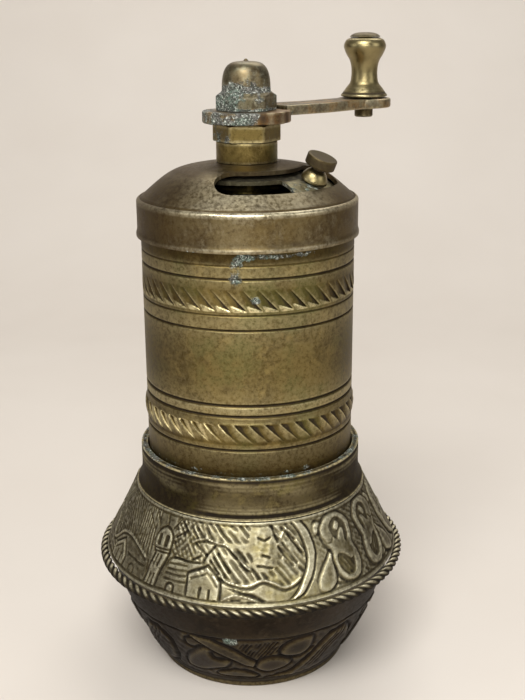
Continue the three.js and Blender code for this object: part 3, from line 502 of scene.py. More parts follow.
def palmette(x, y):
    """Two leaves back to back. Each is a broad 8: a bell stands in its upper hollow over a hatched
    lower one. A wing hangs on its outer side, with a bud above."""
    wing, bud, body, upper, oval, bell, lower = (through(points, steps, True) for points, steps in (
        ([(-8.2, 8.2), (-9.8, 6.6), (-12.3, 3.8), (-12.7, 1.8), (-11.0, 0.9), (-8.9, 2.2), (-8.3, 5.0)], 4),
        ([(-10.4, 14.8), (-9.2, 14.4), (-9.7, 13.0), (-11.0, 12.2), (-11.6, 13.4)], 4),
        ([(-9.4, 10.6), (-9.6, 13.2), (-7.4, 15.3), (-3.6, 15.4), (-1.1, 13.2), (-1.3, 10.4), (-1.9, 8.4),
          (-1.4, 6.2), (-1.2, 4.0), (-2.4, 2.0), (-5.0, 1.6), (-7.4, 3.2), (-8.1, 5.8), (-7.9, 8.0)], 5),
        ([(-6.9, 10.9), (-7.4, 13.0), (-6.1, 14.4), (-4.3, 14.7), (-2.4, 13.3), (-2.2, 11.0), (-3.0, 8.9),
          (-4.0, 9.2), (-6.0, 9.9)], 4),
        ([(-6.1, 12.4), (-4.9, 13.9), (-4.1, 12.9), (-5.2, 11.6)], 4),
        ([(-4.5, 12.0), (-3.4, 11.8), (-3.6, 9.6), (-2.9, 7.2), (-3.7, 6.1), (-5.2, 7.3), (-7.8, 8.3),
          (-7.5, 9.2), (-5.8, 10.2)], 4),
        ([(-6.9, 7.2), (-7.4, 5.6), (-6.9, 4.0), (-5.6, 2.8), (-3.8, 2.7), (-2.8, 4.0), (-2.7, 5.8),
          (-3.6, 5.6), (-5.2, 6.9)], 4),
    ))
    hook = through([(-9.3, 11.0), (-8.7, 10.0), (-7.5, 10.0), (-6.9, 10.9)], 4)
    height = strokes(np.zeros(x.shape), x, y, 1 - smooth(np.abs(x), 10.6, 12.0), -38, 1.0, 1.6, 0.16, 21)
    for side in (1, -1):
        u = x * side
        for outline in (wing, bud, body):
            depth_in = inside(u, y, outline)
            height = height * (1 - smooth(depth_in, -0.2, 0.0)) - 0.3 * hump(depth_in + 0.3, 0.45)
            height += 0.32 * smooth(depth_in, -0.15, 0.5)
        for outline in (upper, lower):
            height -= 0.42 * smooth(inside(u, y, outline), 0, 0.4)
        height = strokes(height, u, y, smooth(inside(u, y, lower), 0.1, 0.4), -58, 0.9, 3.4, 0.22, 30)
        for outline in (oval, bell):
            lift = smooth(inside(u, y, outline), -0.1, 0.35)
            height = height * (1 - lift) + 0.36 * lift
        stem = [(-6.3, 1.5), (-8.6, 2.1), (-10.6, 0.9)]
        height = cut_all(height, u, y, [(0.3, 0.26, hook), (0.4, 0.3, stem)])
    return height


def shoulder_height(angle, y):
    """Two landscapes and two palmettes round the shoulder, between plain lines. The lines waver and
    the ground is uneven, as work done by hand is."""
    per_degree = SHOULDER_GIRTH * math.pi / 180
    sway = 0.12 * waver(angle, y, 6.0, 1)
    y_drawn = y + 0.7 * (1 - smooth(y, -0.4, 7.0)) + 0.1 * waver(angle, y, 5.0, 2)
    x = ((angle + 129) % 180 - 90) * per_degree + sway
    leaf_x = ((angle + 39) % 180 - 90) * per_degree + sway
    share = 1 - smooth(np.abs(leaf_x) - 1.6 * (1 - smooth(y, 3, 7)), 10.8, 11.6)
    height = medallion(x, y_drawn) * (1 - share) + palmette(leaf_x, y_drawn) * share
    height += 0.03 * waver(angle, y, 3.2, 3) + 0.014 * waver(angle, y, 1.2, 4)
    height *= smooth(y, 0.3, 0.8) * (1 - smooth(y, 15.6, 16.1))
    height -= 0.24 * hump(y - 0.4 - 0.08 * waver(angle, y, 8.0, 5), 0.3)
    return 0.82 * height - 0.12 * hump(y - 15.7, 0.3)


def bowl_height(angle, y):
    """Four repeats of leaf work under a plain band: a flat bar and a hatched corner come down on an
    almond leaf, a crest curls up to their left, and a ribbed frond sweeps up to their right."""
    per_degree = BOWL_GIRTH * math.pi / 180
    x = ((angle + 38) % 90 - 38) * per_degree + 0.16 * waver(angle, y, 7.0, 11)
    y = y + 0.12 * waver(angle, y, 6.0, 12)
    height = 0.04 * waver(angle, y, 2.0, 13)
    corner = np.array([(-4.0, 15.9), (7.2, 16.2), (6.0, 12.4), (1.2, 9.6), (-1.2, 12.2)])
    height = strokes(height, x, y, smooth(inside(x, y, corner), 0.1, 0.4), 62, 0.78, 9.0, 0.3, 31)
    lens, crest, almond, leaf = (through(points, 4, True) for points in (
        [(-8.8, 3.4), (-5.1, 5.5), (-1.6, 5.2), (1.4, 3.2), (-3.6, 2.9)],
        [(-16.8, 4.4), (-15.6, 8.6), (-12.9, 11.2), (-10.4, 13.1), (-8.2, 13.6), (-9.3, 11.6),
         (-8.4, 9.6), (-5.2, 9.3), (-6.2, 6.8), (-9.6, 5.2), (-13.0, 4.0)],
        [(0.3, 8.2), (2.7, 10.2), (5.6, 10.5), (9.1, 8.2), (7.2, 6.2), (4.2, 5.0), (1.2, 6.2)],
        [(6.1, 11.6), (7.0, 14.6), (9.2, 16.0), (12.6, 15.9), (13.0, 12.8), (11.4, 10.4), (8.3, 10.3)],
    ))
    bar = np.array([(-13.4, 16.6), (-8.8, 16.6), (-3.6, 13.0), (0.7, 9.2), (0.0, 7.2), (-1.9, 7.9),
                    (-6.9, 11.9)])
    for outline, rise, edge in (
        (lens, 0.22, 0.5), (crest, 0.3, 0.8), (almond, 0.3, 0.8), (leaf, 0.28, 0.7), (bar, 0.3, 0.35),
    ):
        depth_in = inside(x, y, outline)
        height = height * (1 - smooth(depth_in, -0.2, 0.1)) - 0.26 * hump(depth_in + 0.35, 0.5)
        height += rise * smooth(depth_in, -0.1, edge)
    edge_line = through([(3.4, 1.9), (8.8, 3.4), (11.8, 5.8), (13.6, 8.4), (15.4, 11.8), (17.8, 14.6)], 5)
    back_line = through([(21.4, 15.2), (24.0, 12.6), (24.4, 8.0), (21.0, 3.4), (13.0, 1.6)], 4)
    depth_in = inside(x, y, np.vstack([edge_line, back_line]))
    height += 0.36 * smooth(depth_in, -0.1, 0.9) - 0.3 * hump(depth_in + 0.4, 0.55)
    rib = nearest(x, y, edge_line)
    for line in (1.6, 2.7, 3.8):
        height -= 0.2 * hump(rib - line, 0.36) * smooth(depth_in, 0.2, 0.8) * smooth(y, 3.6, 6.4)
    curl = through([(-12.6, 15.9), (-14.6, 15.2), (-14.9, 13.2), (-13.2, 12.2), (-11.4, 13.3)], 4)
    stem = [(8.8, 9.4), (11.4, 9.3), (13.6, 11.6)]
    height = cut_all(height, x, y, [(0.6, 0.36, curl), (0.7, 0.3, stem)])
    height *= smooth(y, 1.6, 2.4) * (1 - smooth(y, 16.3, 16.8))
    for level, depth in ((1.7, 0.12), (16.9, 0.3), (24.6, 0.12)):
        height -= depth * hump(y - level, 0.4)
    return height


# Finishes

# Each row is a finish of old brass: the material's name, its colours body, pale, dark, tint, brown, grime
# and bright, and its settings in aged_metal. Brown and grime also colour painted shade, and bright colours
# painted highlights.
AGED = {
    # Drawn tube, turned and left to age: olive gold with brown and green blots
    "tube": ("aged_brass_tube", "#746439 #8b7847 #554726 #5f5b31 #3a2d17 #281e13 #d6c899",
             {"patch": 9.0, "rough": 0.42, "lathe": 0.06}),
    # Spun cap, handled for years: brown patina, reddish in places, and bright along the crease, where edge
    # wear is made brighter in front as a painted highlight
    "cap": ("browned_brass", "#766849 #8f8468 #594b34 #74633f #43341f #2c2218 #efe3c0",
            {"patch": 7.5, "rough": 0.4}),
    # Turned collar: dark olive brown, with fine lathe lines
    "collar": ("browned_brass_collar", "#63583e #7a6d46 #4a3f2b #69602f #20180f #221a11 #c9bc93",
               {"patch": 6.0, "rough": 0.6, "lathe": 0.14}),
    # Hammered and chased sheet: worn pale on what stands out, black in the cuts
    "shoulder": ("worn_chased_brass", "#918869 #aca586 #766d52 #8a7f54 #362c1c #1f1910 #e4dec2",
                 {"patch": 5.0, "rough": 0.47, "mottle": 0.95}),
    # Twisted wire, with a painted highlight along its top and painted shade below it, as dark as the bowl's
    # patina
    "rope": ("rubbed_and_top_lit_wire", "#857b60 #9c9276 #6c6249 #7e7350 #2b2219 #1a140d #d8d0b2",
             {"patch": 5.0, "rough": 0.46, "mottle": 0.6}),
    # Chased sheet, seldom touched: nearly black patina, a little worn on the leaves
    "bowl": ("blackened_chased_brass", "#31281e #403629 #241d15 #33291c #1c150e #130d08 #75694d",
             {"patch": 6.0, "rough": 0.44, "wear_and_sheen": 0.9}),
    # Forged arm: brown and gold patches, reddish on the hub, salts at the nut
    "arm": ("patched_brass_arm", "#6d6350 #94845c #3b3429 #8e6c3c #7a5737 #2c2218 #cfc4a2",
            {"patch": 3.0, "rough": 0.44, "wear_and_sheen": 0.6}),
    # Turned knob, kept bright by the hand: yellow gold, browner where no finger reaches
    "knob": ("handled_brass", "#8e815b #a09268 #7a6e4e #88804f #493d29 #3a3021 #e2d7ae",
             {"patch": 5.0, "rough": 0.33, "wear_and_sheen": 0.4, "mottle": 0.28}),
    # Domed nut: coppery patina under salts that have grown from its seams
    "nut": ("coppery_brass_nut", "#746d55 #8b8770 #544b3a #6f6044 #4a3e2c #2c241c #c4baa0",
            {"patch": 2.6, "rough": 0.4, "wear_and_sheen": 0.5}),
}

# Salts of copper: their ground, their grey fields, their dark gaps and their pale flecks
SALTS = "#67776a #6c6862 #32342c #ccd0c4"

# Relief marks at which a hollow is full of grime and a ridge is worn bare; painted shade reaches the same
# full grime, and painted highlights the same bright
FULL_HOLLOW, FULL_RIDGE = -0.365, 0.4545

EASED = {"interpolation_type": "SMOOTHSTEP"}


def srgb(code):
    """Linear colour of an sRGB hex value: (c + 0.055) / 1.055 to the 2.4, or c / 12.92 when dark."""
    values = [int(code[k : k + 2], 16) / 255 for k in (1, 3, 5)]
    linear = [c / 12.92 if c <= 0.04045 else ((c + 0.055) / 1.055) ** 2.4 for c in values]
    return (*linear, 1.0)


def node(tree, kind, inputs=None, out=0, **settings):
    """Adds a node with its settings and links: an input is given a value, or another node's output.
    Gives back one of its outputs."""
    made = tree.nodes.new("ShaderNode" + kind)
    for key, value in settings.items():
        setattr(made, key, value)
    for key, value in (inputs or {}).items():
        if isinstance(value, bpy.types.NodeSocket):
            tree.links.new(value, made.inputs[key])
        else:
            made.inputs[key].default_value = value
    return made.outputs[out] if made.outputs else None


def new_material(name):
    """An empty material, its node tree and the piece's own coordinates."""
    material = bpy.data.materials.new(name)
    material.use_nodes = True
    tree = material.node_tree
    tree.nodes.clear()
    return material, tree, node(tree, "TexCoord", out="Object")


def painted(tree, colour, layers):
    """Colours laid over each other. A layer has a colour and a mask; with a low, a high and a share
    behind it, the mask eases from 0 at low to the share at high."""
    for over, mask, *ease in layers:
        if ease:
            low, high, share = ease
            mask = node(tree, "MapRange", {0: mask, 1: low, 2: high, 4: share}, **EASED)
        colour = node(tree, "Mix", {0: mask, 6: colour, 7: over}, out=2, data_type="RGBA")
    return colour


def total(tree, start, *products):
    """The sum start + a b + c d + ... for products (a, b), (c, d)."""
    for a, b in products:
        start = node(tree, "Math", {0: a, 1: b, 2: start}, operation="MULTIPLY_ADD")
    return start


def close_material(tree, colour, metal, matt, height, strength, depth):
    """Surface shader of a metal, with a bump whose full height is depth mm."""
    bump = node(tree, "Bump", {"Height": height, "Strength": strength, "Distance": depth * MM})
    looks = {"Base Color": colour, "Metallic": metal, "Roughness": matt, "Normal": bump}
    node(tree, "OutputMaterial", {"Surface": node(tree, "BsdfPrincipled", looks)})


def aged_metal(name, body, shades, patch, rough, lathe=0.0, wear_and_sheen=1.0, mottle=1.0):
    """Old brass left to age. Patches of patina, mottled at every size, with a tint of green or red; dirt
    stays in the hollows and handling brightens what stands out, as strongly as the wear setting says, both
    following the relief mark, and that mark also carries painted shade, drawn as dark as dirt, and painted
    highlights, drawn as bright as wear. Brown is where the tarnish mark is high, which is patina and
    painted shade, and salts of copper grow where the crust mark is. patch is the patches' size in mm,
    mottle their strength and lathe the depth of turned scratches."""
    material, tree, where = new_material(name)
    pale, dark, tint, brown, grime_and_shade, bright = shades
    relief_and_shading, crust, tarnish_and_shade = (node(tree, "Attribute", out="Fac", attribute_name=mark) for mark in MARKS)

    # Noises: size of the blots in mm, detail, roughness and distortion. Real grit and lathe lines are
    # finer than a picture shows, and are drawn at 0.3 and 0.22 mm.
    noises = []
    for size, detail, grain, warp in (
        (patch, 6, 0.66, 0.2), (patch * 0.5, 6, 0.7, 0.25), (patch * 1.4, 4, 0.6, 0.15),
        (0.8, 5, 0.75, 0), (0.3, 2, 0.6, 0), (1.0, 6, 0.78, 0.3), (3.4, 3, 0.55, 0),
        (5.0, 2, 0.55, 0), (0.7, 6, 0.75, 0), (0.45, 6, 0.75, 0.4),
    ):
        inputs = {"Scale": 1 / (size * MM), "Detail": detail, "Roughness": grain, "Distortion": warp}
        noises.append(node(tree, "TexNoise", {"Vector": where, **inputs}))
    patches, halves, wide, fine, grit, crumbs, swells, fields, gaps, flecks = noises
    lumps = total(tree, 0.0, (crumbs, 0.6), (swells, 0.6))

    # Masks: what they follow, from where to where, and their values there
    masks = []
    for source, low, high, start, end in (
        (grit, 0.66, 0.74, 0, 0.5 * mottle),
        (fine, 0.3, 0.6, 1.0, 0.75),
        (fine, 0.7, 0.4, 0.684, 0.95),
        (fine, 0.34, 0.6, 0.3, 1.0),
        (fine, 0.3, 0.75, rough - 0.06, rough + 0.14),
        (total(tree, lumps, (crust, 1.0)), 0.88, 1.0, 0, 1),
    ):
        masks.append(node(tree, "MapRange", {0: source, 1: low, 2: high, 3: start, 4: end}, **EASED))
    pits, brown_share, dark_share, bright_share, matt, grown = masks
    # hollow and ridge follow the relief mark: below 0 it is dirt in the hollows and painted shade, above 0
    # wear on what stands out and painted highlights
    hollow = node(tree, "MapRange", {0: relief_and_shading, 1: 0, 2: FULL_HOLLOW, 3: 0, 4: dark_share})
    ridge = node(tree, "MapRange", {0: relief_and_shading, 1: 0, 2: FULL_RIDGE / wear_and_sheen, 3: 0, 4: bright_share})

    ground, grey, gap, fleck = (srgb(code) for code in SALTS.split())
    salts = [(grey, fields, 0.44, 0.56, 1), (gap, gaps, 0.62, 0.45, 1), (fleck, flecks, 0.52, 0.64, 1)]
    colour = painted(tree, body, [
        (dark, patches, 0.41, 0.59, mottle),
        (pale, halves, 0.5, 0.68, 0.85 * mottle),
        (tint, wide, 0.5, 0.64, 0.8 * mottle),
        (pale, fine, 0.5, 0.72, 0.5 * mottle),
        (brown, fine, 0.5, 0.3, 0.5 * mottle),
        (grime_and_shade, pits),
        # Brown where the tarnish mark is high: patina, and painted shade on the sides and under parts
        (brown, total(tree, 0.0, (tarnish_and_shade, brown_share))),
        (grime_and_shade, hollow),
        (bright, ridge),
        (painted(tree, ground, salts), grown),
    ])
    bare = total(tree, 1.0, (grown, -0.9), (hollow, -0.3))
    metal = node(tree, "Math", {0: bare, 1: 0.0}, operation="MAXIMUM")
    matt = total(tree, matt, (hollow, 0.25), (ridge, -0.12), (tarnish_and_shade, 0.12))
    matt = node(tree, "Math", {0: matt, 1: total(tree, 0.0, (grown, 0.85))}, operation="MAXIMUM")
    height = total(tree, 0.0, (patches, 0.3), (fine, 0.16), (pits, -0.06), (grown, lumps))
    if lathe:
        stretched = node(tree, "Mapping", {"Vector": where, "Scale": (0.06, 0.06, 1.0)})
        inputs = {"Scale": 1 / (0.22 * MM), "Detail": 2, "Roughness": 0.5}
        height = total(tree, height, (node(tree, "TexNoise", {"Vector": stretched, **inputs}), lathe))
    close_material(tree, colour, metal, matt, height, 0.6 * mottle, 0.25)
    return material


def aged_brass(piece):
    """A finish from the table, with the main colour that the panel gives it."""
    name, codes, settings = AGED[piece]
    body = (*getattr(bpy.context.scene.grinder_colours, piece), 1.0)
    return aged_metal(name, body, [srgb(code) for code in codes.split()[1:]], **settings)


def plain_metal(name, body, dark, rough, grain=0.5, metal=1.0):
    """Working metal inside the mill: one colour with darker blots and a fine grain, in mm."""
    material, tree, where = new_material(name)
    inputs = {"Vector": where, "Roughness": 0.6}
    broad = node(tree, "TexNoise", {"Scale": 1 / (3.0 * MM), "Detail": 4, **inputs})
    fine = node(tree, "TexNoise", {"Scale": 1 / (grain * MM), "Detail": 3, **inputs})
    colour = painted(tree, srgb(body), [(srgb(dark), broad, 0.4, 0.65, 1)])
    matt = node(tree, "MapRange", {0: fine, 1: 0.3, 2: 0.7, 3: rough - 0.08, 4: rough + 0.1}, **EASED)
    close_material(tree, colour, metal, matt, fine, 0.35, 0.1)
    return material


# Operators


def chased(section, first, run, columns, ornament, depth):
    """Heights of a turned section: an ornament over the rows from first on, which lie at distances
    run up the slope, and 0 elsewhere."""
    angle = np.linspace(0, 360, columns, endpoint=False) + 90
    height = np.zeros((len(section), columns))
    drawn = ornament(*np.broadcast_arrays(angle[None, :], run[:, None]))
    height[first : first + len(run)] = drawn * depth
    return height


class MakeCup(Operator):
    """Bowl, twisted rope, chased shoulder and turned collar"""

    bl_idname = "grinder.cup"
    bl_label = "Cup"

    def execute(self, context):
        sizes = context.scene.grinder_cup
        add_piece("bowl", self.bowl(sizes.chasing))
        add_piece("rope", self.rope(sizes.rope_turns))
        add_piece("shoulder", self.shoulder(sizes.chasing))
        add_piece("collar", self.collar())
        return {"FINISHED"}

    def bowl(self, depth):
        """Round bowl on a flat foot: a quadratic curve outside, and the same less the wall inside."""
        wall, columns = 0.9, 720
        outer = bezier([(FOOT_RADIUS, BOWL_FLOOR), (28.45, 11.64), (BOWL_RADIUS, BOWL_TOP)], 96)
        inner = (outer - outward(outer) * wall)[::-4]
        inner = inner[inner[:, 1] > BOWL_FLOOR + 0.4]
        inner[0, 1] = BOWL_TOP
        foot = np.array([(0, 0), (10, 0), (21.2, 0), (21.45, 0.08), (21.58, 0.35), (FOOT_RADIUS, 0.8)])
        floor = np.array([(20.6, BOWL_FLOOR), (10, BOWL_FLOOR), (0, BOWL_FLOOR)])
        section = np.vstack([foot, outer, inner, floor])
        run = np.concatenate([[0], np.cumsum(np.linalg.norm(np.diff(outer, axis=0), axis=1))])
        height = chased(section, len(foot), run, columns, bowl_height, depth)
        made = turned(section, columns, height=height)
        radius, level = np.hypot(*made["points"][:, :2].T), made["points"][:, 2]
        # Painted highlight along the edge of the foot, and painted shade on the sides, away from the light
        sides = side_shade(made, 22, 60)
        made["relief_and_shading"] += 0.6 * near(level, 0.9, 0.2) * (radius > 21) - 0.16 * sides
        made["crust"] = 0.56 * (blot(made, -8.2, 28.2, 15.9, 1.4) + blot(made, -10.8, 28.2, 16.3, 1.3))
        made["tarnish_and_shade"] = 0.95 * sides
        return made

    def shoulder(self, depth):
        """Cone from the rope up to the collar, with a sheet's lip at its foot and an inner wall."""
        rows, columns = 90, 960
        side = np.linspace((32.87, SHOULDER_FOOT - SHOULDER_DROP), (25.4, SHOULDER_TOP), rows)
        inner = np.array([(24.55, 41.35), (25.3, 38.5), (28.0, 33.0), (30.6, 27.8), (31.1, 25.6)])
        lip = np.array([(32.0, 25.3), (32.45, 25.8), (32.75, 26.15)])
        section = np.vstack([lip, side, [(25.1, 41.45)], inner])
        run = np.linspace(-0.4, 16.4, rows)
        height = chased(section, len(lip), run, columns, shoulder_height, depth)
        made = turned(section, columns, "ring", height=height, wear=0.4)
        # Painted shade on the sides, away from the light: browner there, with the ridges kept from shining
        made["tarnish_and_shade"] = 0.97 * side_shade(made, 16, 46)
        made["relief_and_shading"] = np.clip(1.5 * made["relief_and_shading"], -1, 0.8 - 0.62 * made["tarnish_and_shade"])
        return made

    def rope(self, turns):
        """Ring of three wires twisted together: in the section at angle b round the ring, the radius
        is R (1 - g / 2), g = (1 - |cos((3 p + t b) / 2)|)^1.8, where p is the angle in the section."""
        strands = 3
        columns, around = turns * 9, 20
        b = np.linspace(0, 2 * np.pi, columns, endpoint=False)[None, :]
        p = np.linspace(0, 2 * np.pi, around, endpoint=False)[:, None]
        gap = (1 - np.abs(np.cos(strands / 2 * p + turns / 2 * b))) ** 1.8
        radius = ROPE_RADIUS * (1 - 0.5 * gap)
        r, z = ROPE_CENTRE + radius * np.cos(p), ROPE_LEVEL + radius * np.sin(p)
        grid = np.stack(np.broadcast_arrays(r * np.cos(b), r * np.sin(b), z), -1)
        # Painted light from above: a highlight along the top of the wires and shade under them, the gaps
        # between wires darker, and painted shade on the sides
        relief_and_shading = 0.55 * np.sin(p) * (1 - gap) - 0.12 - 1.2 * gap
        made = shell(grid, "ring", relief_and_shading, tarnish_and_shade=0.97 * smooth(-np.sin(p), -0.92, -0.5))
        made["tarnish_and_shade"] = np.maximum(made["tarnish_and_shade"], 0.8 * side_shade(made, 20, 60))
        return made

    def collar(self):
        """Flared foot, straight wall and thin lip, with the sleeve that the tube stands in."""
        wall_foot, inner, under = 46.2, 20.9, 36.2
        flare = bezier([(25.4, COLLAR_FOOT), (COLLAR_RADIUS, 42.9), (COLLAR_RADIUS, wall_foot)], 14)
        corners = [(inner, under), (COLLAR_RADIUS, under), (COLLAR_RADIUS, COLLAR_FOOT - 0.1)]
        upper = eased([
            (COLLAR_RADIUS, wall_foot), (COLLAR_RADIUS, COLLAR_LIP, 0.22), (COLLAR_BORE, COLLAR_LIP, 0.2),
            (COLLAR_BORE, LEDGE_TOP), (inner, LEDGE_TOP),
        ])
        section = spaced(np.vstack([corners, flare, upper[1:]]), 0.45)
        columns = 360
        a = np.linspace(0, 2 * np.pi, columns, endpoint=False)[None, :]
        z = section[:, 1:]
        outside = section[:, :1] > COLLAR_RADIUS - 0.3
        wobble = 0.012 * np.sin(5 * a + 1.1 * z) + 0.02 * np.sin(11 * a + 2.3)
        seam = -0.16 * hump(z - 42.5, 0.35) * smooth(np.cos(a + 1.35), 0.72, 0.86)
        lip_line = -0.1 * hump(z - 49.75, 0.25)
        height = np.where(outside, wobble * smooth(z, 43, 47) + seam + lip_line, 0)
        made = turned(section, columns, "ring", height=height)
        level = made["points"][:, 2]
        made["relief_and_shading"] *= 0.75
        made["crust"] = 0.33 * near(level, COLLAR_LIP, 0.25)
        # Painted shade on the sides, away from the light, and over the flared foot, to dim its highlight
        made["tarnish_and_shade"] = np.maximum(side_shade(made, 14, 48), 0.9 * near(level, COLLAR_FOOT, 1.6))
        return made


def slash(share, rise):
    """A chisel cut of the upper band, whose share goes from 0 to 1 at its wall and whose rise goes up
    the band: depth s^1.1 sqrt(1 - rise), where s rises to 1 over a width that narrows upward. A ledge
    at its foot stays, which catches the light, and the other cut's wall has a thin burr."""
    width = 1 - 0.66 * rise
    side = np.clip((share - 1 + width) / width, 0, 1) ** 1.1 * (1 - smooth(share, 0.95, 1.0))
    ledge = smooth(rise - 0.26 * (1.1 - side), 0.0, 0.06)
    burr = 0.18 * hump(share - 0.05, 0.09) * (1 - rise) ** 0.3
    return side * ledge * (1 - rise) ** 0.5, burr, (1 - ledge) * smooth(side, 0.05, 0.2)


def flute(share, rise):
    """A flute of the lower band, with its wall at share 0: depth s^1.1 sqrt(rise), where s falls to 0
    over a width that grows upward, up to a ledge at its top. Its far edge has a thin burr."""
    width = 0.3 + 0.7 * rise
    side = np.clip((width - share) / width, 0, 1) ** 1.1 * smooth(share, 0.0, 0.05)
    burr = 0.18 * hump(share - 0.95, 0.09) * rise**0.3
    return side * smooth(1 - rise, 0.0, 0.06) * rise**0.5, burr


class MakeTube(Operator):
    """Tube with its turned lines, flute band and slashed band"""

    bl_idname = "grinder.tube"
    bl_label = "Tube"

    def execute(self, context):
        sizes = context.scene.grinder_tube
        bands = (57.5, 61.6), (85.1, 89.4)
        bead_level, bead_half = 59.8, 2.4

        # Turned lines: height, depth and half width
        lines = [
            (56.0, 0.4, 0.42), (63.3, 0.4, 0.48), (65.6, 0.42, 0.5), (81.3, 0.34, 0.36),
            (84.3, 0.2, 0.3), (91.6, 0.34, 0.4), (94.2, 0.16, 0.28),
        ]
        levels = [np.linspace(37.9, 97.1, 28), np.arange(94.6, 97.0, 0.25), np.arange(50.0, 52.0, 0.4)]
        for level, _, half in lines:
            levels.append(level + np.array([-1.4, -1, -0.66, -0.33, 0, 0.33, 0.66, 1, 1.4]) * half)
        for low, high in bands:
            levels.append(np.linspace(low - 0.1, high + 0.1, 20))
            levels.append([low - 0.35, low - 0.2, high + 0.2, high + 0.35])
        z = np.unique(np.round(np.concatenate(levels), 2))
        z = z[np.insert(np.diff(z) > 0.06, 0, True)]
        wall = np.stack([np.full(len(z), TUBE_RADIUS), z], -1)
        foot = np.array([(22.1, TUBE_FOOT), (22.35, TUBE_FOOT + 0.08), (TUBE_RADIUS, TUBE_FOOT + 0.3)])
        spigot = np.array([
            (TUBE_RADIUS, 97.38), (SPIGOT_RADIUS, 97.42), (SPIGOT_RADIUS, TUBE_TOP - 0.1),
            (SPIGOT_RADIUS - 0.15, TUBE_TOP), (TUBE_BORE, TUBE_TOP - 0.05), (TUBE_BORE, TUBE_FOOT + 0.05),
        ])
        section = np.vstack([foot, wall, spigot])

        cuts, per_cut = sizes.cuts, 14
        columns = cuts * per_cut
        zz = section[:, 1:]
        j = np.arange(columns)[None, :] / per_cut
        share = j - np.floor(j)
        lean = 1.3 * 2 * np.pi / cuts
        low_rise, high_rise = (np.clip((zz - low) / (high - low), 0, 1) for low, high in bands)
        in_low, in_high = ((zz > low - 0.02) & (zz < high + 0.02) for low, high in bands)
        twist = -(low_rise + high_rise) * lean

        # No two cuts are equally deep
        rng = np.random.default_rng(7)
        uneven = rng.uniform(0.8, 1.12, cuts)[np.floor(j).astype(int)]
        high_scoop, high_burr, foot_light = (in_high * part for part in slash(share, high_rise))
        low_scoop, low_burr = (in_low * part for part in flute(share, low_rise))
        cut_height = high_burr + low_burr - (high_scoop + low_scoop) * uneven
        turned_lines = sum(-depth * hump(zz - level, half) for level, depth, half in lines)
        bead = 0.4 * np.maximum(1 - ((zz - bead_level) / bead_half) ** 2, 0)
        outside = section[:, :1] > SPIGOT_RADIUS + 0.2
        height = np.where(outside, sizes.cut_depth / MM * cut_height + turned_lines + bead, 0)
        tube = turned(section, columns, "ring", height=height, twist=twist, wear=0.5)

        # Scoops are black inside, the flutes at the left get a painted reflection, and the feet of the cuts
        # get a painted highlight, strongest in front
        turn = from_front(tube)
        left = (smooth(-turn, 12, 26) * (1 - smooth(-turn, 66, 84))).reshape(low_scoop.shape)
        high_black, low_black = smooth(high_scoop, 0.5, 0.82), smooth(low_scoop, 0.4, 0.75)
        wear_and_sheen = left * (0.5 * smooth(low_scoop, 0.1, 0.3) + 0.22 * low_black)
        before = (smooth(turn, -36, -20) * (1 - smooth(turn, 24, 40))).reshape(low_scoop.shape)
        marks = (0.2 + 0.65 * before) * foot_light - 0.5 * (high_black + low_black) + wear_and_sheen
        tube["relief_and_shading"] = 0.6 * tube["relief_and_shading"] + marks.reshape(-1)

        # Darker foot and lower end, painted shadow under the skirt, painted shade below each turned line
        # and on the sides, a stain, and blots of salts under the skirt and where water ran
        level = tube["points"][:, 2]
        tube["relief_and_shading"] -= 0.05 * (1 - smooth(level, 55.4, 55.8))
        ends = 0.9 * (1 - smooth(level, 55.6, 56.2)) + 0.9 * smooth(level, 94.1, 94.7)
        shade = sum(1.25 * depth * near(level, place - 0.25, 0.4) for place, depth, _ in lines)
        stain = 0.55 * blot(tube, -9, 22.5, 90.6, 2.4)
        tube["tarnish_and_shade"] = np.maximum.reduce([0.95 * side_shade(tube, 20, 70), ends, shade, stain])
        streak = 0.36 * near(level, 96.0, 0.8) * smooth(turn, -6, 2) * (1 - smooth(turn, 28, 46))
        tube["crust"] = streak + 0.26 * near(level, 51.0, 0.5)
        for share, *spot in (
            (0.42, -5.0, 22.5, 95.3, 2.5), (0.4, -7.5, 22.5, 91.2, 1.7), (0.56, 3.5, 22.4, 87.4, 1.5),
        ):
            tube["crust"] += share * blot(tube, *spot)
        add_piece("tube", tube)
        return {"FINISHED"}


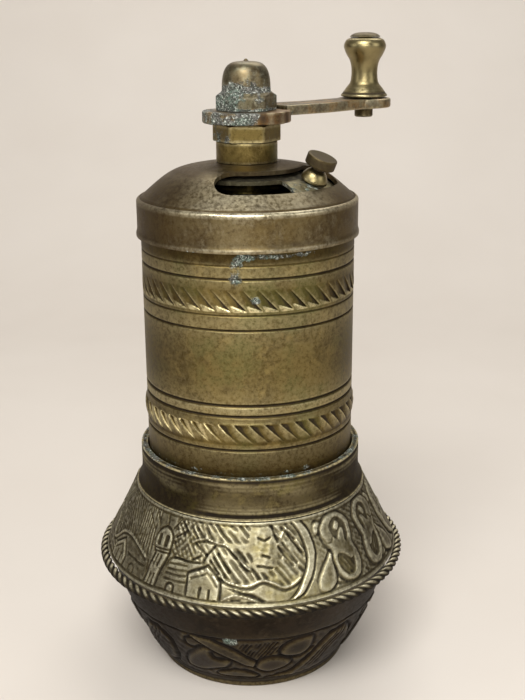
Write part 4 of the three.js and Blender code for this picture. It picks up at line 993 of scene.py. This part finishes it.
class MakeCap(Operator):
    """Spun cap with its filler slot, and the shutter under it with its coin-headed knob"""

    bl_idname = "grinder.cap"
    bl_label = "Cap and shutter"

    def execute(self, context):
        sizes = context.scene.grinder_cap
        cap = add_piece("cap_spun", *self.cap(sizes.slot_width / MM / 2), crease=60)

        # The cap's two grids share the line of the slot's centre where there is no slot
        merged = bmesh.new()
        merged.from_mesh(cap.data)
        bmesh.ops.remove_doubles(merged, verts=merged.verts, dist=0.002 * MM)
        merged.to_mesh(cap.data)
        merged.free()
        self.finish_sheet(cap, 0.16)
        self.finish_sheet(add_piece("shutter_plate_sheet", self.shutter_plate()), 0.12)
        add_piece("shutter_knob_turned", self.knob())
        return {"FINISHED"}

    @staticmethod
    def dome(drop=0.0):
        """Dome from the seat out to the crease: a cubic curve with both handles at one corner."""
        corner = (15.8, SEAT_TOP - 1.2 - drop)
        return bezier([(SEAT_RADIUS, SEAT_TOP - drop), corner, corner, (CREASE_RADIUS, CREASE - drop)], 80)

    @staticmethod
    def finish_sheet(piece, edge):
        """Gives a sheet its thickness on the inner side, and rounds its cut edges by an edge in mm."""
        wall = piece.modifiers.new("sheet", "SOLIDIFY")
        wall.thickness = 0.8 * MM
        wall.offset = -1
        wall.use_even_offset = True
        wall.use_quality_normals = True
        rounding = piece.modifiers.new("edges", "BEVEL")
        rounding.width = edge * MM
        rounding.segments = 3
        rounding.limit_method = "ANGLE"
        rounding.angle_limit = math.radians(50)
        rounding.harden_normals = True

    def cap(self, half):
        """One grid each side of the slot's edge. The slot runs along r = SLOT_CENTRE; its half width
        is w, or sqrt(w^2 - d^2) at a distance d past the centre of a round end."""
        first, last = math.radians(-100), math.radians(-14)
        reach = half / SLOT_CENTRE
        ends = reach * np.sin(np.linspace(0, np.pi / 2, 12))
        spans = [
            np.linspace(first, last, 60)[1:-1],
            first - ends,
            last + ends,
            np.linspace(last + reach, first - reach + 2 * np.pi, 150)[1:-1],
        ]
        a = np.unique(np.concatenate([np.mod(s, 2 * np.pi) for s in spans]))
        in_slot = np.mod(a - first, 2 * np.pi) <= last - first
        past = np.where(in_slot, 0, np.minimum(np.mod(first - a, 2 * np.pi), np.mod(a - last, 2 * np.pi)))
        opening = np.sqrt(np.maximum(half**2 - (past * SLOT_CENTRE) ** 2, 0))

        dome = self.dome()
        rim = eased([
            (CREASE_RADIUS, CREASE), (22.42, CREASE - 0.28, 0.08), (22.62, CREASE - 0.05, 0.15),
            (SKIRT_RADIUS, CREASE - 0.5, 0.3), (SKIRT_RADIUS, SKIRT_FOOT + 1.3, 0.5),
            (23.48, SKIRT_FOOT + 0.5, 0.3), (23.42, SKIRT_FOOT),
        ])
        rim = spaced(rim[1:], 0.6)
        seat = np.array([(4.7, SEAT_TOP), (5.8, SEAT_TOP), (SEAT_RADIUS - 0.1, SEAT_TOP)])
        t = np.linspace(0, 1, 22)[:, None] ** 1.2
        inner_side = SEAT_RADIUS + (SLOT_CENTRE - opening - SEAT_RADIUS)[None, :] * t
        outer_side = SLOT_CENTRE + opening + (CREASE_RADIUS - SLOT_CENTRE - opening)[None, :] * t
        sheets = []
        for fixed, r in ((seat, inner_side), (rim, outer_side)):
            line = np.broadcast_to(fixed[:, None, :], (len(fixed), len(a), 2))
            run = np.stack([r, np.interp(r, dome[:, 0], dome[:, 1])], -1)
            rz = np.concatenate([line, run] if fixed is seat else [run, line])[::-1]
            grid = np.stack([rz[..., 0] * np.cos(a), rz[..., 0] * np.sin(a), rz[..., 1]], -1)
            if fixed is seat:
                # Painted shade along the slot's inner edge, where the slot is open
                relief_and_shading = -0.25 * smooth(rz[..., 0], 10.8, 11.5) * (opening > half / 2)
            else:
                relief_and_shading = edge_wear(rz[:, len(a) // 2], 0.6)[:, None]
            sheets.append(shell(grid, "open", relief_and_shading))
        for sheet in sheets:
            x, y, level = sheet["points"].T
            flat = np.hypot(x, y)
            # Painted shade in the groove over the crease and on the sides away from the light, less of it
            # on the skirt's right; the edges shine less on the sides, and the dome's front gets a painted
            # highlight
            groove = 0.8 * near(level, CREASE + 0.3, 0.12) * (flat < 22.5)
            sides = side_shade(sheet, 20, 56)
            sides *= 1 - 0.35 * (flat > 22.6) * smooth(from_front(sheet), 10, 40)
            sheet["tarnish_and_shade"] = np.maximum(groove, 0.92 * sides)
            sheet["relief_and_shading"] *= np.where(flat > 22, 1 - 0.75 * sides, 1)
            sheet["relief_and_shading"] += 0.14 * (1 - sides) * (flat > 12) * (flat < 22)
            sheet["crust"] = 0.22 * (1 - smooth(flat, 6.6, 8.2)) + 0.2 * near(level, SKIRT_FOOT, 0.8)
        return sheets

    def shutter_plate(self):
        """Round hub with one wide blade: the edge is at 12.4 mm, and at 19.9 mm along the blade."""
        hub, blade_end, bore = 12.4, 19.9, 4.85
        line = self.dome(PLATE_DROP)
        a = np.unique(np.concatenate([
            np.linspace(-180, 180, 180, endpoint=False), np.linspace(-58.6, -55.4, 12),
            np.linspace(72.4, 75.6, 12),
        ]))
        edge = hub + (blade_end - hub) * smooth(a, -57.8, -56.2) * (1 - smooth(a, 73.2, 74.8))
        t = np.linspace(0, 1, 26)[:, None]
        r = bore + (edge[None, :] - bore) * t
        a = np.radians(a)
        grid = np.stack([r * np.cos(a), r * np.sin(a), np.interp(r, line[:, 0], line[:, 1])], -1)[::-1]
        # Painted highlight along the plate's outer edge and painted shade on the hub, which lies under the
        # cap; salts on the blade
        made = shell(grid, "open", 0.6 * smooth(t[::-1], 0.93, 1.0))
        blade = smooth(np.hypot(*made["points"][:, :2].T), hub + 0.2, hub + 1.2)
        made["relief_and_shading"] -= 0.8 * (1 - blade)
        made["crust"] = 0.28 * blade
        return made

    def knob(self):
        """Upset tail, bell foot, thin neck and coin head, square to the dome."""
        bell = bezier([(2.8, 0.65), (2.275, 2.45), (1.15, 2.8)], 10)
        lower = np.array([
            (0, -2.1), (1.5, -2.1), (1.7, -1.95), (1.7, -1.85), (1.1, -1.1), (1.1, 0.3), (2.6, 0.3),
            (2.75, 0.4),
        ])
        head = eased([(1.15, 3.3), (1.15, 3.6, 0.15), (3.1, 3.6, 0.28), (3.1, 5.7, 0.3), (0, 5.7)], 5)
        made = turned(spaced(np.vstack([lower, bell, head]), 0.4), 64)
        coin = smooth(made["points"][:, 2], 3.0, 3.5)
        made["tarnish_and_shade"] = coin
        made["relief_and_shading"] = made["relief_and_shading"] * (1 - 0.6 * coin) - 0.22 * coin - 0.07 * (1 - coin)
        line = self.dome(PLATE_DROP)
        inner, lift, outer = np.interp(SLOT_CENTRE + np.array([-0.5, 0, 0.5]), line[:, 0], line[:, 1])
        return moved(made, (
            Matrix.Rotation(math.radians(SHUTTER_ANGLE), 4, "Z")
            @ Matrix.Translation((SLOT_CENTRE, 0, lift))
            @ Matrix.Rotation(math.atan2(inner - outer, 1.0), 4, "Y")
        ))


def hexagon(section, flats, columns, turn, keen=46, free_from=math.inf):
    """Turned section cut by six flats up to a height: radius = min(section, flats / c), where c is the
    largest cosine of the angle to a flat, as a soft maximum so that the corners are a little round."""
    a = np.linspace(0, 2 * np.pi, columns, endpoint=False)[None, :]
    to_flat = [np.clip(np.cos(a - k * math.pi / 3), 0, 1) ** keen for k in range(6)]
    limit = flats / sum(to_flat) ** (1 / keen)
    a = a + math.radians(turn)
    r, z = section[:, :1], section[:, 1:]
    limited = np.where(z > free_from, r, np.minimum(r, limit))
    grid = np.stack(np.broadcast_arrays(limited * np.cos(a), limited * np.sin(a), z), -1)
    corner = smooth(limit / flats, 1.11, 1.15)
    relief_and_shading = 0.5 * edge_wear(section)[:, None] + 0.14 * corner * (r > limit - 0.05)
    return shell(grid, "poles", relief_and_shading)


class MakeNeck(Operator):
    """Threaded ring and nut that hold the bush in the cap"""

    bl_idname = "grinder.neck"
    bl_label = "Neck"

    def execute(self, context):
        ring = eased([(0, RING_FOOT), (6.35, RING_FOOT, 0.12), (6.35, RING_TOP, 0.3), (0, RING_TOP)])
        ring = turned(spaced(ring, 0.5), 120, wear=0.3)
        level = ring["points"][:, 2]
        ring["crust"] = 0.28 * near(level, RING_FOOT, 0.3)
        ring["tarnish_and_shade"] = 0.5 * near(level, RING_FOOT, 0.4)
        add_piece("neck_ring_turned", ring)
        nut = eased([
            (0, NUT_FOOT), (6.9, NUT_FOOT, 0.1), (7.2, NUT_FOOT + 0.25, 0.1), (7.2, NUT_TOP - 0.3, 0.1),
            (6.7, NUT_TOP, 0.15), (0, NUT_TOP),
        ])
        nut = hexagon(spaced(nut, 0.4), 6.15, 144, turn=-90)
        nut["crust"] = 0.18 + 0.13 * smooth(-nut["points"][:, 0], 2.6, 4.0)
        add_piece("neck_nut_faced", nut)
        return {"FINISHED"}


class MakeCrank(Operator):
    """Crank arm with its hub, domed nut, rivet and turned knob"""

    bl_idname = "grinder.crank"
    bl_label = "Crank"

    def execute(self, context):
        add_piece("crank_arm_forged", self.hub(), to_crank(self.arm()))
        add_piece("acorn_nut_domed", self.domed_nut())
        add_piece("knob_rivet", to_crank(self.rivet(), CRANK_RADIUS))
        add_piece("knob_turned", to_crank(self.knob(), CRANK_RADIUS))
        return {"FINISHED"}

    def hub(self):
        """Round hub, a little uneven round its edge."""
        columns = 200
        section = eased([(0, HUB_FOOT), (9.15, HUB_FOOT, 0.35), (9.15, HUB_TOP, 0.4), (0, HUB_TOP)], 5)
        section = spaced(section, 0.4)
        a = np.linspace(0, 2 * np.pi, columns, endpoint=False)[None, :]
        uneven = 0.03 * np.sin(7 * a + 1) + 0.02 * np.sin(17 * a) - 0.03
        hub = turned(section, columns, height=smooth(section[:, :1], 8.2, 9.0) * uneven)
        x, y, _ = hub["points"].T
        right = smooth(x, 1.0, 4.0)
        hub["relief_and_shading"] *= 0.5
        hub["crust"] = 0.16 + 0.22 * smooth(np.hypot(x, y), 6.0, 8.0) * (1 - right)
        hub["tarnish_and_shade"] = 0.55 * right
        return hub

    def domed_nut(self):
        """Hexagon with a domed top that ends in a small pip."""
        flats_top = 125.5
        foot = eased([(0, ACORN_FOOT), (6.6, ACORN_FOOT, 0.1), (6.6, 124.6), (5.4, 125.4), (5.0, 125.75)])
        dome = bezier([(4.97, 126.3), (4.97, 131.0), (3.23, 131.55), (1.2, 131.58)], 16)
        pip = bezier([(0.7, 131.62), (0.25, 131.7), (0.45, ACORN_TOP), (0, ACORN_TOP)], 6)
        section = spaced(np.vstack([foot, dome, pip]), 0.3)
        nut = hexagon(section, 5.5, 144, turn=-83.4, free_from=flats_top)
        level = nut["points"][:, 2]
        left = smooth(-nut["points"][:, 0], 1.0, 3.0)
        faces = (0.3 + 0.14 * left) * (level < flats_top)
        seams = 0.5 * np.maximum(near(level, 122.2, 0.25), near(level, 125.9, 0.3))
        above = (0.27 + 0.09 * left) * (level > 125.6) * (1 - smooth(level, 126.8, 130.0))
        nut["crust"] = np.maximum(faces, seams) + above
        return nut

    def rivet(self):
        """Pin of the knob, with an upset tail under the arm and a round head on the knob."""
        head = bezier([(3.35, PIN_HEAD + 0.1), (2.6, 136.75), (1.4, PIN_TOP), (0, PIN_TOP)], 12)
        pin = [
            (0, 118.55), (1.8, 118.55), (2.05, 118.8), (2.05, 120.45), (1.5, 120.45), (1.5, PIN_HEAD),
            (3.3, PIN_HEAD),
        ]
        rivet = turned(spaced(np.vstack([pin, head]), 0.4), 60, wear=0.4)
        rivet["tarnish_and_shade"] += 1
        return rivet

    def knob(self):
        """Turned knob: a curve from its wide foot in to a waist and out to a round top."""
        side = through([
            (5.15, 0.4), (3.95, 2.0), (3.15, 3.1), (2.9, 4.8), (2.97, 6.5), (3.35, 7.9), (4.1, 9.2),
            (4.66, 10.8), (4.2, 12.1), (3.1, 12.7),
        ], 6)
        foot, bore = [(1.6, 0), (4.9, 0), (5.12, 0.06), (5.19, 0.2)], [(1.6, 12.72), (1.6, 6)]
        section = np.vstack([foot, side, bore])
        line = np.where(section[:, :1] > 2, -0.06 * hump(section[:, 1:] - 0.85, 0.2), 0)
        knob = turned(section + (0, KNOB_FOOT), 96, "ring", height=line, wear=0.3)
        knob["tarnish_and_shade"] = 0.4 * (1 - smooth(knob["points"][:, 2], KNOB_FOOT + 0.2, KNOB_FOOT + 1.4))
        return knob

    def arm(self):
        """Flat bar with a round eye. Each row is the outline drawn in towards its middle line by a
        share w, at a height z, so the edges are rounded over."""
        start, stop = 6.95, CRANK_RADIUS
        eye_radius, half_start, half_stop, thick = 6.0, 4.7, 4.3, 2.1
        neck = stop - math.sqrt(eye_radius**2 - half_stop**2)
        sweep = math.atan2(half_stop, neck - stop)
        eye = np.linspace(-sweep, sweep, 48)
        near_side = np.linspace((start, -half_start), (neck, -half_stop), 30)[:-1]
        far_side = near_side[::-1] * (1, -1)
        ring = np.stack([stop + eye_radius * np.cos(eye), eye_radius * np.sin(eye)], -1)
        butt = np.linspace((start, half_start), (start, -half_start), 10)[1:-1]
        outline = np.vstack([near_side, ring, far_side, butt])
        middle = np.stack([np.clip(outline[:, 0], start + 1.5, stop), 0 * outline[:, 0]], -1)
        edge = np.array([(0, 0), (0.5, 0), (0.88, 0), (0.955, 0.06), (0.99, 0.22), (1.0, 0.5)])
        shape = np.vstack([edge, edge[::-1] * (1, -1) + (0, thick)])
        w, z = shape[:, :1, None], shape[:, 1:, None] + ARM_FOOT
        flat = middle + (outline - middle) * w
        grid = np.concatenate([flat, z - 0.12 * near(flat[..., :1], 20, 60)], -1)
        made = shell(grid, "open", 0.45 * near(shape[:, :1], 0.97, 0.0012))
        made["crust"] = 0.14 + 0.12 * (1 - smooth(made["points"][:, 0], 9, 15))
        return made


class FinishInside(Operator):
    """Finishes of the pieces that keep their CAD shape: bush, burrs, bridge, screws and shaft"""

    bl_idname = "grinder.inside"
    bl_label = "Inner pieces"

    def execute(self, context):
        # Turned steel is grey and fairly bright, with a fine grain
        steel = plain_metal("turned_steel", "#77746d", "#57534b", 0.38)
        # Cast iron is nearly black and matt, with a coarse skin
        iron = plain_metal("cast_iron", "#3b3733", "#26221e", 0.6, grain=0.9, metal=0.9)
        # Rolled bar is a darker, duller grey
        bar = plain_metal("rolled_steel_bar", "#6a665f", "#4d4940", 0.45)
        brass = aged_brass("tube")
        finishes = {
            "neck_bush": brass, "bush_nut": brass, "shutter_washer": brass,
            "outer_burr": iron, "inner_burr": iron,
            "bridge_bar": bar, "bridge_screw_1": steel, "bridge_screw_2": steel,
            "adjusting_screw": steel, "thrust_ball": steel, "shaft": steel, "cross_pin": steel,
        }
        for name, finish in finishes.items():
            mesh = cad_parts[name].data
            mesh.materials.clear()
            mesh.materials.append(finish)
        return {"FINISHED"}


def placed(name, data, axes, place):
    """New object at a place, turned so that its own X, Y and Z lie along three axes."""
    thing = bpy.data.objects.new(name, data)
    bpy.context.scene.collection.objects.link(thing)
    thing.matrix_world = Matrix([*np.column_stack([*axes, place]).tolist(), (0, 0, 0, 1)])
    return thing


class MakeStage(Operator):
    """Pale paper sweep, soft lamps and the camera"""

    bl_idname = "grinder.stage"
    bl_label = "Stage"

    def execute(self, context):
        scene = context.scene
        sizes = scene.grinder_stage
        self.paper()
        world = bpy.data.worlds.new("studio")
        world.use_nodes = True
        world.node_tree.nodes.clear()
        room = {"Color": (*sizes.room_colour, 1), "Strength": sizes.room_level}
        node(world.node_tree, "OutputWorld", {"Surface": node(world.node_tree, "Background", room)})
        scene.world = world

        # Soft boxes: place and target in metres, width, height, and share of the key lamp's power
        for name, place, target, wide, tall, share in (
            ("key", (-0.10, -0.40, 0.60), (0, 0, 0.07), 0.40, 0.28, 1.0),
            ("fill_left", (-0.62, -0.25, 0.30), (0, 0, 0.07), 0.3, 0.4, 0.12),
            ("fill_right", (0.60, -0.35, 0.34), (0, 0, 0.08), 0.34, 0.45, 0.22),
            ("back", (0.1, 0.35, 0.6), (0, 0, 0.1), 0.5, 0.3, 0.36),
            ("front", (-0.05, -0.85, 0.34), (0, 0, 0.04), 0.46, 0.16, 0.6),
        ):
            lamp = bpy.data.lights.new(name, "AREA")
            lamp.shape = "RECTANGLE"
            lamp.size, lamp.size_y = wide, tall
            lamp.energy = sizes.lamp_power * share
            back = np.array(place) - np.array(target)
            back /= np.linalg.norm(back)
            across = np.cross((0, 0, 1), back)
            across /= np.linalg.norm(across)
            placed(name, lamp, (across, np.cross(back, across), back), place)

        # Camera as fitted to the photograph's ellipses: place, line of sight, pan and roll
        camera = bpy.data.cameras.new("camera")
        camera.lens = 54.15
        camera.sensor_width = 36
        camera.clip_start, camera.clip_end = 0.01, 20
        forward = np.array((0.01271, 0.95477, -0.29706))
        forward /= np.linalg.norm(forward)
        pan, roll = math.radians(-0.763), math.radians(-0.42)
        right = np.array((math.cos(pan), math.sin(pan), 0))
        up = np.cross(right, forward)
        across = right * math.cos(roll) + up * math.sin(roll)
        upright = up * math.cos(roll) - right * math.sin(roll)
        scene.camera = placed("camera", camera, (across, upright, -forward), (0, -0.22017, 0.1390))
        scene.view_settings.view_transform = "Standard"
        return {"FINISHED"}

    def paper(self):
        """Paper, lying flat to a quarter circle behind the mill and upright from there."""
        # Uncoated paper is matt, with faint clouds
        material, tree, where = new_material("pale_paper_sweep")
        inputs = {"Vector": where, "Scale": 1 / (60 * MM), "Detail": 2, "Roughness": 0.55}
        tone = painted(tree, srgb("#cbc2b7"), [(srgb("#d2cac0"), node(tree, "TexNoise", inputs))])
        surface = node(tree, "BsdfPrincipled", {"Base Color": tone, "Roughness": 0.7})
        node(tree, "OutputMaterial", {"Surface": surface})

        start, bend_radius, front, top, half_width = 0.25, 0.3, -1.5, 1.4, 3
        bend = np.linspace(0, np.pi / 2, 24)
        curve = np.stack([start + bend_radius * np.sin(bend), bend_radius * (1 - np.cos(bend))], -1)
        profile = np.vstack([(front, 0), curve, (start + bend_radius, top)])
        sides = [np.insert(profile, 0, x, axis=1) for x in (-half_width, half_width)]
        count = len(profile)
        low = np.arange(count - 1)
        faces = np.stack([low, low + count, low + count + 1, low + 1], -1)
        mesh = bpy.data.meshes.new("floor")
        mesh.from_pydata(np.vstack(sides).tolist(), [], faces.tolist())
        mesh.shade_smooth()
        mesh.materials.append(material)
        floor = bpy.data.objects.new("floor", mesh)
        bpy.context.scene.collection.objects.link(floor)


# Settings and panel


class CupSizes(PropertyGroup):
    """Sizes of the cup's ornament"""

    rope_turns: IntProperty(
        name="Rope turns", description="Wires that cross the rope's outer line", default=92, min=24
    )
    chasing: FloatProperty(
        name="Chasing", description="Depth of the ornament, as a share of the usual",
        default=1.0, min=0, max=1.5, subtype="FACTOR",
    )


class TubeSizes(PropertyGroup):
    """Sizes of the tube's bands"""

    cuts: IntProperty(name="Cuts", description="Slanting cuts round each band", default=45, min=12)
    cut_depth: FloatProperty(
        name="Cut depth", description="Depth of a cut at its deep end", unit="LENGTH", precision=5,
        default=0.46 * MM, min=0, max=0.8 * MM,
    )


class CapSizes(PropertyGroup):
    """Sizes of the cap"""

    slot_width: FloatProperty(
        name="Slot width", description="Width of the filler slot", unit="LENGTH", precision=4,
        default=7.4 * MM, min=3 * MM, max=9 * MM,
    )


def main_colour(piece, label):
    """Property for the main colour of a finish, with the table's colour as its default."""
    return FloatVectorProperty(
        name=label, description=f"Main colour of the {label.lower()}", subtype="COLOR",
        default=srgb(AGED[piece][1].split()[0])[:3], min=0, max=1,
    )


class FinishColours(PropertyGroup):
    """Main colours of the old brass"""

    tube: main_colour("tube", "Tube and neck")
    cap: main_colour("cap", "Cap")
    collar: main_colour("collar", "Collar")
    shoulder: main_colour("shoulder", "Shoulder and shutter")
    rope: main_colour("rope", "Rope")
    bowl: main_colour("bowl", "Bowl")
    arm: main_colour("arm", "Crank arm")
    knob: main_colour("knob", "Knobs")
    nut: main_colour("nut", "Domed nut")


class StageSizes(PropertyGroup):
    """Light on the stage"""

    room_level: FloatProperty(
        name="Room level", description="Strength of the room's even light", default=0.19, min=0
    )
    room_colour: FloatVectorProperty(
        name="Room colour", description="Colour of the room's light", subtype="COLOR",
        default=(1.0, 0.98, 0.955), min=0, max=1,
    )
    lamp_power: FloatProperty(
        name="Lamp power", description="Power of the key lamp", default=4.6, min=0, unit="POWER"
    )


class GrinderPanel(Panel):
    """Lists the pieces and their sizes"""

    bl_idname = "GRINDER_PT_pieces"
    bl_label = "Spice grinder"
    bl_space_type = "VIEW_3D"
    bl_region_type = "UI"
    bl_category = "Grinder"

    def draw(self, context):
        column = self.layout.column()
        for name in GROUPS:
            sizes = getattr(context.scene, name)
            for prop in sizes.bl_rna.properties:
                if prop.identifier not in ("rna_type", "name"):
                    column.prop(sizes, prop.identifier)
        for operator in OPERATORS:
            column.operator(operator.bl_idname)


GROUPS = {
    "grinder_cup": CupSizes,
    "grinder_tube": TubeSizes,
    "grinder_cap": CapSizes,
    "grinder_colours": FinishColours,
    "grinder_stage": StageSizes,
}
OPERATORS = (MakeStage, MakeCup, MakeTube, MakeCap, MakeNeck, MakeCrank, FinishInside)


def register():
    for kind in (*GROUPS.values(), *OPERATORS, GrinderPanel):
        bpy.utils.register_class(kind)
    for name, kind in GROUPS.items():
        setattr(bpy.types.Scene, name, PointerProperty(type=kind))


def unregister():
    for name in GROUPS:
        delattr(bpy.types.Scene, name)
    for kind in reversed((*GROUPS.values(), *OPERATORS, GrinderPanel)):
        bpy.utils.unregister_class(kind)


def main():
    register()
    for operator in OPERATORS:
        group, name = operator.bl_idname.split(".")
        getattr(getattr(bpy.ops, group), name)()


if __name__ == "__main__":
    main()
